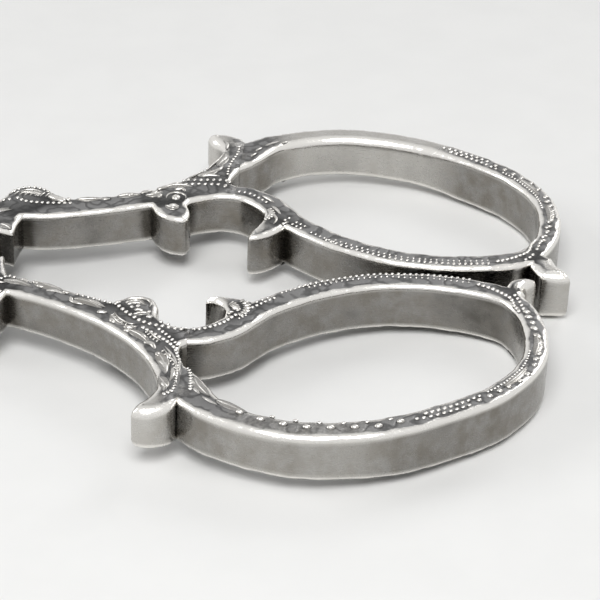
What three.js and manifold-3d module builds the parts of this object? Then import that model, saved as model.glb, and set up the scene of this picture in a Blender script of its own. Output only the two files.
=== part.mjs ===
// Scissor-action sugar nips in cast silver, about 1760: two crossed halves turn on one rivet.
// Each half has a finger ring, a rococo scroll stem, its part of a box hinge, a bowed arm and a
// scallop shell grip. The near half forks round the far half's tongue in the hinge.
// Millimetres. X runs along the nips towards the rings, Y across them and Z along the pivot.
// Shapes are drawn for the far half, whose ring lies at +Y, and mirrored for the near half.

import * as THREE from 'three';
import { mergeVertices } from 'three/addons/utils/BufferGeometryUtils.js';
import Module from 'manifold-3d';

const wasm = await Module();
wasm.setup();

// Driving sizes of the straps
const rootDepth = 3.3; // strap height at the hinge
const tailDepth = 4.1; // strap height at the ring's tail
const closingGap = 0.3; // left between the two halves when shut
const cutOverrun = 2; // how far a cutting block runs past what it cuts

// Driving sizes of the box hinge
const hubRadius = 7.2;
const cheekThickness = 1.3;
const tongueThickness = 1.2;
const runningGap = 0.1; // between tongue and cheeks
const swingGap = 0.3; // between a turning disc and the other half's straps
const seatAngle = THREE.MathUtils.degToRad(35); // the flat on a disc's edge, seen from the pivot
const rivetRadius = 1.4;
const rivetBoreGap = 0.08;
const rivetHeadRadius = 2.3;
const rivetHeadHeight = 0.45;

// Driving sizes of the finger ring
const ringLength = 26.2; // solder seam to the ring's tail
const ringWidth = 22.3; // outside, across the nips
const ringStrapWidth = 2;
const ringInset = 0.35; // the ring's inner flank stands back from the halves' meeting plane

// Driving sizes of the scroll stem
const stemReach = 26.3; // pivot to solder seam, near half
const farStemExtra = 1.5; // the hand-made far half is this much longer
const stemRootInset = 0.3;

// Driving sizes of the grip arm
const armReach = 47.3; // pivot to the shell's seam
const armStrapWidth = 2.2;
const armDepth = 2.6; // strap height of the arm, less than the stem's
const armBow = 6.6; // how far the bow swells past the arm's root

// Driving sizes of the shell grip
const shellLength = 14.5;
const shellBulge = 3.6;
const shellWall = 0.9;
const shellLip = 0.35;
const shellFan = THREE.MathUtils.degToRad(52); // half the angle that the fan spreads
const shellRibs = 9;
const shellRibDepth = 0.22;
const shellSideShare = 0.45; // the fan's side edge against its length
const shellEdgePower = 1.5; // how late the fan's edge falls back
const shellCrestPower = 0.6; // below 1 the crest lies nearer the beak
const shellFullPower = 0.85; // below 1 the back is fuller than a sine
const neckLead = 1; // arm seam to the shell's beak
const neckRun = 3.4; // arm seam to the neck's end in the shell's back

// Worked-out sizes
const hubHalf = tongueThickness / 2 + runningGap + cheekThickness;
const seatX = hubRadius * Math.cos(seatAngle);
const seatY = hubRadius * Math.sin(seatAngle);
const meetingY = closingGap / 2;
const stemLow = meetingY + stemRootInset;
const neckY = meetingY + shellLip + shellBulge / 2;

// Facets
const hubSides = 64;
const rivetSides = 32;
const runSteps = 5; // chords between two points of an outline
const fanSteps = 36;
const beakSteps = 11;

// The ring's centre line, from the solder seam round the outside and back along the inside:
// along the ring, across it, and the strap's width there
const ringLineShares = [
  [-0.05, 0.69, 1.55], [0, 0.759, 1.6], [0.085, 0.882, 1.25], [0.167, 0.943, 1.15],
  [0.242, 0.978, 1.12], [0.353, 1, 1.12], [0.512, 0.975, 1.08], [0.623, 0.929, 1.05],
  [0.706, 0.872, 1], [0.857, 0.741, 0.96], [0.913, 0.665, 0.92], [0.966, 0.562, 0.9],
  [0.993, 0.466, 0.9], [1, 0.374, 0.9], [0.998, 0.303, 0.9], [0.986, 0.219, 0.88],
  [0.962, 0.143, 0.9], [0.929, 0.084, 0.98], [0.889, 0.049, 1.05], [0.833, 0.025, 1.05],
  [0.778, 0.012, 1.02], [0.694, 0, 1], [0.595, 0.004, 0.98], [0.516, 0.02, 1],
  [0.417, 0.064, 1], [0.317, 0.128, 1.05], [0.198, 0.246, 1.1], [0.147, 0.325, 1.2],
  [0.107, 0.387, 1.18], [0.044, 0.443, 1.05], [0, 0.456, 1], [-0.052, 0.456, 1],
];

// The outlines below are smooth runs between corners. The hand-made halves differ a little.
// The hook that closes the C scroll: along the ring from the seam, and across it
const nearHookShares = [
  [[0.103, 0.383], [0.088, 0.348], [0.088, 0.312], [0.071, 0.276], [0.046, 0.253], [0.027, 0.265]],
  [[0.027, 0.265], [0.031, 0.24], [0.057, 0.222], [0.095, 0.229], [0.13, 0.24], [0.158, 0.262]],
  [[0.158, 0.262], [0.176, 0.316], [0.103, 0.383]],
];
const farHookShares = [
  [[0.095, 0.365], [0.097, 0.325], [0.097, 0.294], [0.084, 0.258], [0.065, 0.226], [0.057, 0.186]],
  [[0.057, 0.186], [0.063, 0.155], [0.084, 0.155], [0.107, 0.168], [0.134, 0.195], [0.16, 0.233]],
  [[0.16, 0.233], [0.179, 0.298], [0.095, 0.365]],
];

// The leaf spur at the ring's tail, in the same shares
const nearSpurShares = [
  [[0.88, 0.065], [0.897, 0.022], [0.924, 0.001], [0.95, 0], [0.977, 0.002]],
  [[0.977, 0.002], [0.952, 0.038], [0.934, 0.07], [0.936, 0.11]],
  [[0.936, 0.11], [0.9, 0.12], [0.88, 0.065]],
];
const farSpurShares = [
  [[0.897, 0.072], [0.916, 0.025], [0.931, 0.002], [0.966, 0], [1.008, 0.002]],
  [[1.008, 0.002], [1.015, 0.016], [1, 0.061], [0.977, 0.092], [0.966, 0.128]],
  [[0.966, 0.128], [0.92, 0.141], [0.897, 0.072]],
];

// The stem's flank that faces the other half, from the leaf cusp past the lobe and the C scroll
// to the seam: along in shares of hinge seat to seam, and across in shares of the ring's width
const nearStemInnerShares = [
  [[0.255, 0.038], [0.269, 0.105], [0.294, 0.168]],
  [[0.294, 0.168], [0.456, 0.217], [0.573, 0.258], [0.701, 0.303]],
  [[0.701, 0.303], [0.736, 0.276], [0.79, 0.253], [0.843, 0.267], [0.87, 0.312], [0.875, 0.365]],
  [[0.875, 0.365], [0.892, 0.399], [0.927, 0.419], [0.961, 0.43], [1, 0.433]],
];
const farStemInnerShares = [
  [[0.242, 0.092], [0.245, 0.16], [0.254, 0.218]],
  [[0.254, 0.218], [0.351, 0.226], [0.525, 0.276], [0.703, 0.345]],
  [[0.703, 0.345], [0.735, 0.289], [0.777, 0.258], [0.835, 0.251], [0.851, 0.298], [0.834, 0.365]],
  [[0.834, 0.365], [0.845, 0.388], [0.881, 0.41], [0.945, 0.433], [1, 0.433]],
];

// Both stems close the ring's opening between the two branches, then swell into the knob
const stemSeamShares = [
  [[1, 0.433], [1, 0.52]],
  [[1, 0.52], [0.983, 0.536], [0.978, 0.563], [0.986, 0.603], [1, 0.639]],
  [[1, 0.639], [1, 0.861]],
  [[1, 0.861], [0.986, 0.89], [0.927, 0.924], [0.889, 0.928], [0.849, 0.917]],
];

// The stem's outer flank, from the knob back to the leaf lobe and the hinge
const nearStemOuterShares = [
  [[0.848, 0.917], [0.863, 0.868], [0.897, 0.832], [0.924, 0.783], [0.912, 0.72], [0.883, 0.652],
    [0.839, 0.585], [0.799, 0.538], [0.75, 0.493], [0.671, 0.433], [0.559, 0.37], [0.437, 0.316],
    [0.309, 0.276]],
  [[0.309, 0.276], [0.29, 0.33], [0.241, 0.37], [0.187, 0.372], [0.138, 0.343], [0.108, 0.294],
    [0.094, 0.253]],
];
const farStemOuterShares = [
  [[0.85, 0.917], [0.865, 0.868], [0.898, 0.832], [0.925, 0.783], [0.914, 0.72], [0.884, 0.652],
    [0.841, 0.587], [0.802, 0.543], [0.754, 0.499], [0.683, 0.45], [0.58, 0.406], [0.454, 0.372],
    [0.356, 0.348]],
  [[0.356, 0.348], [0.337, 0.397], [0.288, 0.433], [0.233, 0.435], [0.188, 0.406], [0.16, 0.352],
    [0.137, 0.298]],
];

// Where the flanks bend between the hinge seat and the leaf: along that way, and across
const nearRootShares = [[0.35, 0.052], [0.7, 0.062]];
const farRootShares = [[0.35, 0.085], [0.7, 0.112]];

// The rivet's head from its crown out to its edge
const rivetDomeShares = [[0, 1], [0.35, 0.95], [0.65, 0.78], [0.88, 0.42], [1, 0]];

// The arm's centre line: along from hinge seat to shell seam, out by the bow, and width
const armLineShares = [
  [-0.06, -0.05, 1.25], [0, 0, 1.25], [0.09, 0.2, 1.2], [0.19, 0.5, 1.12], [0.31, 0.8, 1.02],
  [0.44, 0.98, 0.95], [0.57, 0.97, 0.9], [0.7, 0.75, 0.88], [0.83, 0.42, 0.9], [0.93, 0.13, 0.97],
  [1, 0, 1.05], [1.04, -0.03, 1.05],
];

// The small leaf cusp inside the arm and the leaf lobe outside it, in the same shares
const armCuspShares = [
  [[0.04, 0.02], [0.075, -0.1], [0.115, -0.16]],
  [[0.115, -0.16], [0.125, 0.05], [0.175, 0.42]],
  [[0.175, 0.42], [0.1, 0.25], [0.04, 0.02]],
];
const armLobeShares = [
  [[0.05, 0.28], [0.065, 0.5], [0.1, 0.72], [0.14, 0.76], [0.165, 0.66], [0.175, 0.52]],
  [[0.175, 0.52], [0.13, 0.3], [0.05, 0.28]],
];

const toSolid = (geometry) => {
  const bare = geometry.clone();
  bare.deleteAttribute('normal');
  bare.deleteAttribute('uv');
  const merged = mergeVertices(bare);
  const vertProperties = new Float32Array(merged.attributes.position.array);
  const triVerts = new Uint32Array(merged.index.array);
  return new wasm.Manifold(new wasm.Mesh({ numProp: 3, vertProperties, triVerts }));
};

const toGeometry = (solid) => {
  const mesh = solid.getMesh();
  const geometry = new THREE.BufferGeometry();
  geometry.setAttribute('position', new THREE.BufferAttribute(mesh.vertProperties, 3));
  geometry.setIndex(new THREE.BufferAttribute(mesh.triVerts, 1));
  return geometry;
};

// A closed outline from smooth runs that meet at corners
const outlineOf = (runs) => {
  const outline = [];
  for (const run of runs) {
    const bends = run.map(([x, y]) => new THREE.Vector3(x, y, 0));
    const curve = new THREE.CatmullRomCurve3(bends, false, 'centripetal');
    const chords = run.length > 2 ? (run.length - 1) * runSteps : 1;
    const points = curve.getPoints(chords).slice(0, -1);
    outline.push(...points.map((point) => new THREE.Vector2(point.x, point.y)));
  }
  return new THREE.Shape(outline);
};

// A strap seen from above: a smooth centre line widened to both sides
const strapOutline = (centre, width) => {
  const bends = centre.map(([x, y, share]) => new THREE.Vector3(x, y, share));
  const curve = new THREE.CatmullRomCurve3(bends, false, 'centripetal');
  const chords = (centre.length - 1) * runSteps;
  const left = [];
  const right = [];
  for (let step = 0; step <= chords; step += 1) {
    const point = curve.getPoint(step / chords);
    const heading = curve.getTangent(step / chords);
    const side = new THREE.Vector2(-heading.y, heading.x).setLength((width * point.z) / 2);
    left.push(new THREE.Vector2(point.x + side.x, point.y + side.y));
    right.push(new THREE.Vector2(point.x - side.x, point.y - side.y));
  }
  return new THREE.Shape([...left, ...right.reverse()]);
};

// An upright prism about the plane Z = 0 whose height may change along X
const prismOf = (shape, depthAt) => {
  const geometry = new THREE.ExtrudeGeometry(shape, { depth: 1, bevelEnabled: false });
  geometry.translate(0, 0, -0.5);
  const spots = geometry.attributes.position;
  for (let i = 0; i < spots.count; i += 1) {
    spots.setZ(i, spots.getZ(i) * depthAt(spots.getX(i)));
  }
  return toSolid(geometry);
};

const boxOf = (low, high) => {
  const size = new THREE.Vector3().subVectors(high, low);
  const geometry = new THREE.BoxGeometry(size.x, size.y, size.z);
  const middle = new THREE.Vector3().addVectors(low, high).multiplyScalar(0.5);
  return toSolid(geometry.translate(middle.x, middle.y, middle.z));
};

// A round disc about the pivot between two heights
const discOf = (radius, low, high, sides) => {
  const geometry = new THREE.CylinderGeometry(radius, radius, high - low, sides);
  geometry.rotateX(Math.PI / 2);
  return toSolid(geometry.translate(0, 0, (low + high) / 2));
};

// Straps grow evenly from the hinge seat to the ring's tail, so ring and stem meet at one height
const strapDepthTo = (tailX) => (x) => {
  const along = (x - seatX) / (tailX - seatX);
  return rootDepth + (tailDepth - rootDepth) * along;
};

// Clears the hinge end of a strap: the near half keeps its outer layers, the far half its middle
const clearHinge = (strap, forked) => {
  const reach = hubRadius + swingGap;
  const slot = tongueThickness / 2 + (forked ? runningGap : 0);
  const over = hubHalf + cutOverrun;
  if (forked) {
    return strap.subtract(discOf(reach, -slot, slot, hubSides));
  }
  const above = discOf(reach, slot, over, hubSides);
  const below = discOf(reach, -over, -slot, hubSides);
  return strap.subtract(above).subtract(below);
};

const ringOf = (seamX, hookShares, spurShares) => {
  const lineLength = ringLength - ringStrapWidth / 2;
  const lineWidth = ringWidth - ringStrapWidth;
  const lineLow = meetingY + ringInset + ringStrapWidth / 2;
  const centre = ringLineShares.map(([along, out, width]) => (
    [seamX + along * lineLength, lineLow + out * lineWidth, width]));
  const inRing = (runs) => runs.map((run) => run.map(([along, out]) => (
    [seamX + along * ringLength, meetingY + out * ringWidth])));
  const depthAt = strapDepthTo(seamX + ringLength);
  const bow = prismOf(strapOutline(centre, ringStrapWidth), depthAt);
  const hook = prismOf(outlineOf(inRing(hookShares)), depthAt);
  const spur = prismOf(outlineOf(inRing(spurShares)), depthAt);
  const behindSeam = boxOf(
    new THREE.Vector3(seamX - ringLength, -cutOverrun, -tailDepth),
    new THREE.Vector3(seamX, ringInset + ringWidth + cutOverrun, tailDepth));
  return bow.add(hook).add(spur).subtract(behindSeam);
};

const stemOf = (seamX, forked, innerShares, outerShares, rootShares) => {
  const inStem = ([along, out]) => (
    [THREE.MathUtils.lerp(seatX, seamX, along), meetingY + out * ringWidth]);
  const runs = [...innerShares, ...stemSeamShares, ...outerShares].map((run) => run.map(inStem));
  const cusp = runs[0][0];
  const shoulder = runs.at(-1).at(-1);
  const bends = rootShares.map(([along, out]) => (
    [THREE.MathUtils.lerp(seatX, cusp[0], along), meetingY + out * ringWidth]));
  const rootIn = [[seatX, stemLow], ...bends, cusp];
  const rootOut = [[shoulder, [seatX, seatY]], [[seatX, seatY], [seatX, stemLow]]];
  const stem = prismOf(outlineOf([rootIn, ...runs, ...rootOut]), strapDepthTo(seamX + ringLength));
  return clearHinge(stem, forked);
};

const armOf = (forked) => {
  const rootY = (stemLow + seatY) / 2;
  const run = armReach - seatX;
  const inArm = ([along, out, width]) => {
    const settle = THREE.MathUtils.lerp(rootY, neckY, THREE.MathUtils.clamp(along, 0, 1));
    return [-(seatX + along * run), -(settle + out * armBow), width];
  };
  const level = () => armDepth;
  const bow = prismOf(strapOutline(armLineShares.map(inArm), armStrapWidth), level);
  const [cusp, lobe] = [armCuspShares, armLobeShares].map((runs) => (
    prismOf(outlineOf(runs.map((run) => run.map(inArm))), level)));
  const outside = rootY + neckY + armBow + armStrapWidth + cutOverrun;
  const between = boxOf(
    new THREE.Vector3(-armReach, -outside, -armDepth),
    new THREE.Vector3(-seatX, cutOverrun, armDepth));
  return clearHinge(bow.add(cusp).add(lobe).intersect(between), forked);
};

// A fluted dome over the shell's fan, bulging towards -Y from a flat base
const domeOf = (beakX, length, rise, lip, base) => {
  const top = [];
  const floor = [];
  for (let i = 0; i <= fanSteps; i += 1) {
    const across = (2 * i) / fanSteps - 1;
    const angle = across * shellFan;
    const waveAcross = Math.cos(Math.PI * shellRibs * across);
    const fall = (1 - shellSideShare) * Math.abs(across) ** shellEdgePower;
    const rim = length * (1 - fall) + shellRibDepth * waveAcross;
    for (let j = 1; j <= beakSteps; j += 1) {
      const out = j / beakSteps;
      const crest = Math.abs(Math.sin(Math.PI * out ** shellCrestPower)) ** shellFullPower;
      const swell = crest * Math.sqrt(1 - across * across);
      const flute = shellRibDepth * waveAcross * swell * out;
      const x = -(beakX + out * rim * Math.cos(angle));
      const z = out * rim * Math.sin(angle);
      top.push([x, -(lip + rise * swell + flute), z]);
      floor.push([x, base, z]);
    }
  }
  const beak = [[-beakX, -lip, 0], [-beakX, base, 0]];
  const corners = [...top, ...floor, ...beak];
  const at = (i, j, layer) => {
    const onFan = layer * top.length + i * beakSteps + j - 1;
    return j === 0 ? 2 * top.length + layer : onFan;
  };
  const faces = [];
  const quad = (a, b, c, d) => faces.push([a, c, b], [a, d, c]);
  for (let i = 0; i < fanSteps; i += 1) {
    for (let j = 0; j < beakSteps; j += 1) {
      quad(at(i, j, 0), at(i, j + 1, 0), at(i + 1, j + 1, 0), at(i + 1, j, 0));
      quad(at(i, j, 1), at(i + 1, j, 1), at(i + 1, j + 1, 1), at(i, j + 1, 1));
    }
    quad(at(i, beakSteps, 0), at(i, beakSteps, 1), at(i + 1, beakSteps, 1), at(i + 1, beakSteps, 0));
  }
  for (let j = 0; j < beakSteps; j += 1) {
    quad(at(0, j, 1), at(0, j + 1, 1), at(0, j + 1, 0), at(0, j, 0));
    quad(at(fanSteps, j, 0), at(fanSteps, j + 1, 0), at(fanSteps, j + 1, 1), at(fanSteps, j, 1));
  }
  const solidFaces = faces.filter(([a, b, c]) => a !== b && b !== c && c !== a);
  const geometry = new THREE.BufferGeometry();
  geometry.setAttribute('position', new THREE.Float32BufferAttribute(corners.flat(), 3));
  geometry.setIndex(solidFaces.flat());
  return toSolid(geometry);
};

const shellOf = () => {
  const beakX = armReach + neckLead;
  const back = domeOf(beakX, shellLength, shellBulge, shellLip, 0);
  const hollow = domeOf(
    beakX + shellWall, shellLength - 2 * shellWall, shellBulge + shellLip - shellWall, 0, cutOverrun);
  const neck = boxOf(
    new THREE.Vector3(-(armReach + neckRun), -(neckY + armStrapWidth / 2), -armDepth / 2),
    new THREE.Vector3(-armReach, -(neckY - armStrapWidth / 2), armDepth / 2));
  const placed = back.add(neck).subtract(hollow);
  return placed.translate([0, -meetingY, 0]);
};

const boredDisc = (low, high, boreRadius) => {
  const disc = discOf(hubRadius, low, high, hubSides);
  const over = hubRadius + cutOverrun;
  const stemSeat = boxOf(new THREE.Vector3(seatX, 0, -over), new THREE.Vector3(over, over, over));
  const armSeat = boxOf(new THREE.Vector3(-over, -over, -over), new THREE.Vector3(-seatX, 0, over));
  const bore = discOf(boreRadius, low - cutOverrun, high + cutOverrun, rivetSides);
  return disc.subtract(stemSeat).subtract(armSeat).subtract(bore);
};

const rivetGeometry = () => {
  const head = rivetDomeShares.map(([out, up]) => (
    [out * rivetHeadRadius, hubHalf + up * rivetHeadHeight]));
  const dome = [...head, [rivetRadius, hubHalf]];
  const lower = dome.map(([radius, height]) => new THREE.Vector2(radius, -height));
  const upper = dome.map(([radius, height]) => new THREE.Vector2(radius, height)).reverse();
  return new THREE.LatheGeometry([...lower, ...upper], rivetSides).rotateX(Math.PI / 2);
};

const mirrorAcross = (geometry) => {
  geometry.scale(1, -1, 1);
  const corners = geometry.index;
  for (let i = 0; i < corners.count; i += 3) {
    const second = corners.getX(i + 1);
    corners.setX(i + 1, corners.getX(i + 2));
    corners.setX(i + 2, second);
  }
  return geometry;
};

const silver = (color, roughness) => (
  new THREE.MeshStandardMaterial({ color, roughness, metalness: 1 }));

const nips = new THREE.Group();
const addPiece = (name, geometry, material) => {
  geometry.computeVertexNormals();
  const piece = new THREE.Mesh(geometry, material);
  piece.name = name;
  nips.add(piece);
};

const farPiece = (name, solid, material) => addPiece(name, toGeometry(solid), material);
const nearPiece = (name, solid, material) => addPiece(name, mirrorAcross(toGeometry(solid)), material);

const strapSilver = silver(0xc9c8c4, 0.28);
const hubSilver = silver(0xc2c1bd, 0.34);
const shellSilver = silver(0xcfcecb, 0.25);
const tongueHalf = tongueThickness / 2;
const cheekLow = tongueHalf + runningGap;
const bore = rivetRadius + rivetBoreGap;
const farReach = stemReach + farStemExtra;
const nearRing = ringOf(stemReach, nearHookShares, nearSpurShares);
const nearStem = stemOf(stemReach, true, nearStemInnerShares, nearStemOuterShares, nearRootShares);
const farRing = ringOf(farReach, farHookShares, farSpurShares);
const farStem = stemOf(farReach, false, farStemInnerShares, farStemOuterShares, farRootShares);

nearPiece('near_ring_bow', nearRing, strapSilver);
nearPiece('near_scroll_stem', nearStem, strapSilver.clone());
nearPiece('near_upper_hinge_cheek', boredDisc(cheekLow, hubHalf, bore), hubSilver);
nearPiece('near_lower_hinge_cheek', boredDisc(-hubHalf, -cheekLow, bore), hubSilver.clone());
nearPiece('near_grip_arm', armOf(true), strapSilver.clone());
nearPiece('near_shell_grip', shellOf(), shellSilver);
farPiece('far_ring_bow', farRing, strapSilver.clone());
farPiece('far_scroll_stem', farStem, strapSilver.clone());
farPiece('far_hinge_tongue', boredDisc(-tongueHalf, tongueHalf, bore), hubSilver.clone());
farPiece('far_grip_arm', armOf(false), strapSilver.clone());
farPiece('far_shell_grip', shellOf(), shellSilver.clone());
addPiece('pivot_rivet', rivetGeometry(), silver(0xb9b8b4, 0.3));

// The origin is under the middle of the closed nips
const bounds = new THREE.Box3().setFromObject(nips);
const middle = bounds.getCenter(new THREE.Vector3());
nips.position.set(-middle.x, -middle.y, -bounds.min.z);

const sugarNips = new THREE.Group();
sugarNips.add(nips);
export default sugarNips;
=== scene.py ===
"""Looks of a pair of cast silver sugar nips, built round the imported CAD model.

The straps of the rings, stems and arms get rounded edges and a sunk, darkened ground. The chased
beads and leaves stand on that ground, level with the straps' faces. Plan points are millimetres
from the pivot, drawn for the far half at +Y, and the near half mirrors them.
"""

import math

import bmesh
import bpy
import numpy as np
from bpy.props import FloatProperty, FloatVectorProperty, IntProperty, PointerProperty
from mathutils import Matrix, Vector


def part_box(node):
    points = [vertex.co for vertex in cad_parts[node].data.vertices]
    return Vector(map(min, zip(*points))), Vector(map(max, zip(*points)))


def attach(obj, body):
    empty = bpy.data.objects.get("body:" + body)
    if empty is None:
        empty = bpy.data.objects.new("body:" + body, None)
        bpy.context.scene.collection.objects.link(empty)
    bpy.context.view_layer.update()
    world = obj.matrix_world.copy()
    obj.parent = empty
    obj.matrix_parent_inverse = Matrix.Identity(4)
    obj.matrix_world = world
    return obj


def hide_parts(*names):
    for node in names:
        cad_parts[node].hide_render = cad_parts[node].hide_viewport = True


bl_info = {
    "name": "Silver sugar nips",
    "version": (1, 0, 0),
    "blender": (4, 5, 0),
    "location": "View3D > Sidebar > Nips",
    "description": "Builds chased silver sugar nips round their CAD frame",
    "category": "Add Mesh",
}

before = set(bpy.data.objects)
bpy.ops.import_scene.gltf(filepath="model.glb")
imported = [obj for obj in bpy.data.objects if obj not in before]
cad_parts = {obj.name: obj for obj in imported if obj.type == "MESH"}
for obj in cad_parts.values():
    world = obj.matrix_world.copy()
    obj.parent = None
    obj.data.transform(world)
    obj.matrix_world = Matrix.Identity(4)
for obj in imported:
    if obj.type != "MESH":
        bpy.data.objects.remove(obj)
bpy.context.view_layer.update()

MM = 0.001
TINY = 1e-12  # keeps a division clear of zero
SLIVER = 0.01 * MM  # edges as short as this are left out of discs and turned shapes
MERGE_GAP = 0.002 * MM  # corners this close are one corner
SPECK = 0.0005 * MM  # edges as short as this are left out of every finished piece
LEVEL_GAP = 0.08 * MM  # what lies this close to a flat side's plane belongs to that side
IN_PLANE = 0.002 * MM  # what lies this close to the plane lies in it
ON_SEAM = 0.001 * MM  # what lies this close to a seam's plane lies in it
FLAT = math.radians(0.3)  # walls that turn less than this are one face
UPRIGHT = 0.99  # the least upward share of a flat side's normal
SHARP = math.radians(38)  # edges that turn more than this stay crisp
BOTH_SIDES = (1.0, -1.0)
LAYERS = ("rise", "gleam", "shade_and_tarnish")
BODY = {"near": "near_half", "far": "far_half"}
SIDE = {"near": -1.0, "far": 1.0}

rivet_low, rivet_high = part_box("pivot_rivet")
PIVOT = (rivet_low + rivet_high) / 2

# The solder seams, in millimetres from the pivot
STEM_SEAT = (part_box("near_scroll_stem")[0].x - PIVOT.x) / MM
RING_SEAM = {half: (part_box(f"{half}_ring_bow")[0].x - PIVOT.x) / MM for half in SIDE}
ARM_END = (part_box("near_grip_arm")[0].x - PIVOT.x) / MM

# A strap's edge in section, from the wall over the rounded edge to the chased ground: share of
# the edge's width inwards, share of its drop downwards, rise above the ground, and wear with painted
# highlight
EDGE_SHARES = [
    (0.0, 1.5, 1.0, 0.0), (0.0, 1.0, 1.0, 0.35), (0.08, 0.66, 1.0, 0.9), (0.25, 0.36, 1.0, 1.0),
    (0.5, 0.14, 1.0, 1.0), (0.75, 0.03, 0.85, 0.8), (1.0, 0.0, 0.45, 0.4), (1.2, 0.0, 0.0, 0.0),
]

# Places that are left plainer, and brighter from wear with painted highlight: centre, reach, how much,
# and how much wider the rounded edge gets there. Those that are wholly plain are tips, and their
# corners are worn off.
POLISHED = {
    "near_scroll_stem": [(24.1, 19.9, 1.95, 1.0, 1.2)],
    "far_scroll_stem": [(25.2, 20.0, 2.2, 1.0, 1.1)],
    "near_ring_bow": [
        (27.6, 5.6, 1.3, 1.0, 0.3), (51.6, 1.0, 1.6, 1.0, 0.9), (32.5, 21.2, 4.2, 0.4, 0.36),
        (37.0, 21.8, 4.2, 0.4, 0.36),
    ],
    "far_ring_bow": [
        (29.6, 5.0, 1.2, 1.0, 0.9), (53.6, 1.2, 1.9, 1.0, 1.2), (34.0, 21.4, 4.6, 0.9, 0.8),
        (38.0, 22.0, 4.6, 0.9, 0.8), (42.0, 21.6, 4.6, 0.9, 0.8),
    ],
}
TIP_PASSES = 8
# How bright a plain tip is painted, wear with painted highlight
TIP_GLEAM = 0.45
TIP_CALM = 0.8  # how far a plain tip calms the waves of its edge
WORN_CLEAN = 0.7  # how far wear takes tarnish and painted shade out of a corner

# A hand-filed edge swells and thins in waves: millimetres from wave to wave, share and phase
FILE_WAVES = [(1.7, 0.5, 0.4), (2.9, 0.8, 2.1), (0.9, 0.35, 1.3)]
SEAM_CALM = 0.8 * MM  # the waves die out this close to a seam

# How an outline point walks inwards: how far against the deepest inset, in how many steps, how
# many outline steps it is measured against, and the drop in their distance that stops it
WALK_REACH = 2.6
WALK_STEPS = 60
NEIGHBOURS = 40
STALL = 1e-6 * MM

# The far ring lies this much further out than the near ring
RING_SHIFT = RING_SEAM["far"] - RING_SEAM["near"]


def plan(half, x, y):
    """A plan point of one half, in the row's frame."""
    return Vector((PIVOT.x + x * MM, PIVOT.y + SIDE[half] * y * MM, 0.0))


# Materials

# The silver's patterns, by how many there are to a millimetre
PATCHES = 0.16
CLOUDS = 0.75
RIDGES = 0.95
GRAINS = 5.0
PUNCHES = 5.5

# Its hairlines: how many to a millimetre, the way they run, and their width
HAIRLINES = [
    (9.0, (0.2, 0.1, 0.35), 0.09), (6.0, (0.5, 1.2, 1.1), 0.11), (16.0, (0.1, 0.05, 0.02), 0.07),
]

SHADE_AND_TARNISH_TONE = 0.42  # the darkest tarnish with painted shade against the thin tarnish
GROUND_TONES = (0.4, 2.1)  # the ground's darkest tone, for painted shade with tarnish, and its lightest tone against its own colour
BUMP_DEPTH = 0.05 * MM

# A Mix node's two inputs and its output, for each kind of value
MIX_SOCKETS = {"FLOAT": (2, 3, 0), "RGBA": (6, 7, 2)}


def node_tree(name):
    """A new node material, with its tree and its shader."""
    material = bpy.data.materials.new(name)
    material.use_nodes = True
    tree = material.node_tree
    tree.nodes.clear()
    output = tree.nodes.new("ShaderNodeOutputMaterial")
    shader = tree.nodes.new("ShaderNodeBsdfPrincipled")
    tree.links.new(shader.outputs["BSDF"], output.inputs["Surface"])
    return material, tree, shader


def feed(tree, socket, value):
    """Links a value to a node's input, or sets the input to a number or a colour."""
    if isinstance(value, bpy.types.NodeSocket):
        tree.links.new(value, socket)
    elif isinstance(value, (int, float)):
        socket.default_value = value
    else:
        socket.default_value = (*value, 1.0)


def add_node(tree, kind, values=None, links=None):
    node = tree.nodes.new(kind)
    for key, value in (values or {}).items():
        if isinstance(key, str) and hasattr(node, key):
            setattr(node, key, value)
        else:
            node.inputs[key].default_value = value
    for key, source in (links or {}).items():
        tree.links.new(source, node.inputs[key])
    return node


def object_point(tree, scale=(1 / MM, 1 / MM, 1 / MM), turn=(0.0, 0.0, 0.0)):
    """Object coordinates, in millimetres or stretched and turned for one pattern."""
    source = tree.nodes.new("ShaderNodeTexCoord")
    mapping = add_node(tree, "ShaderNodeMapping", {"Scale": scale, "Rotation": turn},
                       {"Vector": source.outputs["Object"]})
    return mapping.outputs["Vector"]


def noise(tree, point, scale, detail, roughness=0.5):
    node = add_node(tree, "ShaderNodeTexNoise",
                    {"Scale": scale, "Detail": detail, "Roughness": roughness}, {"Vector": point})
    return node.outputs["Fac"]


def spread(tree, value, low, high, to_low=0.0, to_high=1.0):
    """Maps one range of a value to another, smoothly and held at the ends."""
    node = add_node(tree, "ShaderNodeMapRange",
                    {"interpolation_type": "SMOOTHSTEP", 1: low, 2: high, 3: to_low, 4: to_high},
                    {0: value})
    return node.outputs[0]


def reckon(tree, operation, first, second=0.0):
    """A Math node on two values, each a socket or a number."""
    node = tree.nodes.new("ShaderNodeMath")
    node.operation = operation
    feed(tree, node.inputs[0], first)
    feed(tree, node.inputs[1], second)
    return node.outputs[0]


def swing(tree, pattern, amount):
    """A pattern that runs from 0 to 1, made to swing both ways about 0."""
    return reckon(tree, "MULTIPLY", reckon(tree, "SUBTRACT", pattern, 0.5), amount)


def blend(tree, kind, share, first, second):
    """Passes from one number or colour to another by a share."""
    node = tree.nodes.new("ShaderNodeMix")
    node.data_type = kind
    from_slot, to_slot, result = MIX_SOCKETS[kind]
    feed(tree, node.inputs[0], share)
    feed(tree, node.inputs[from_slot], first)
    feed(tree, node.inputs[to_slot], second)
    return node.outputs[result]


def hairlines(tree):
    """Thin, long, broken scratches, each set along one direction."""
    marks = 0.0
    for lines_per_mm, turn, width in HAIRLINES:
        across = lines_per_mm / MM
        point = object_point(tree, (lines_per_mm * 60, across, across), turn)
        lines = noise(tree, point, 1.0, 2.0, 0.4)
        scratch = spread(tree, lines, 0.5 + width, 0.5 + 2 * width)
        marks = reckon(tree, "MAXIMUM", marks, scratch)
    return marks


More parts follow.
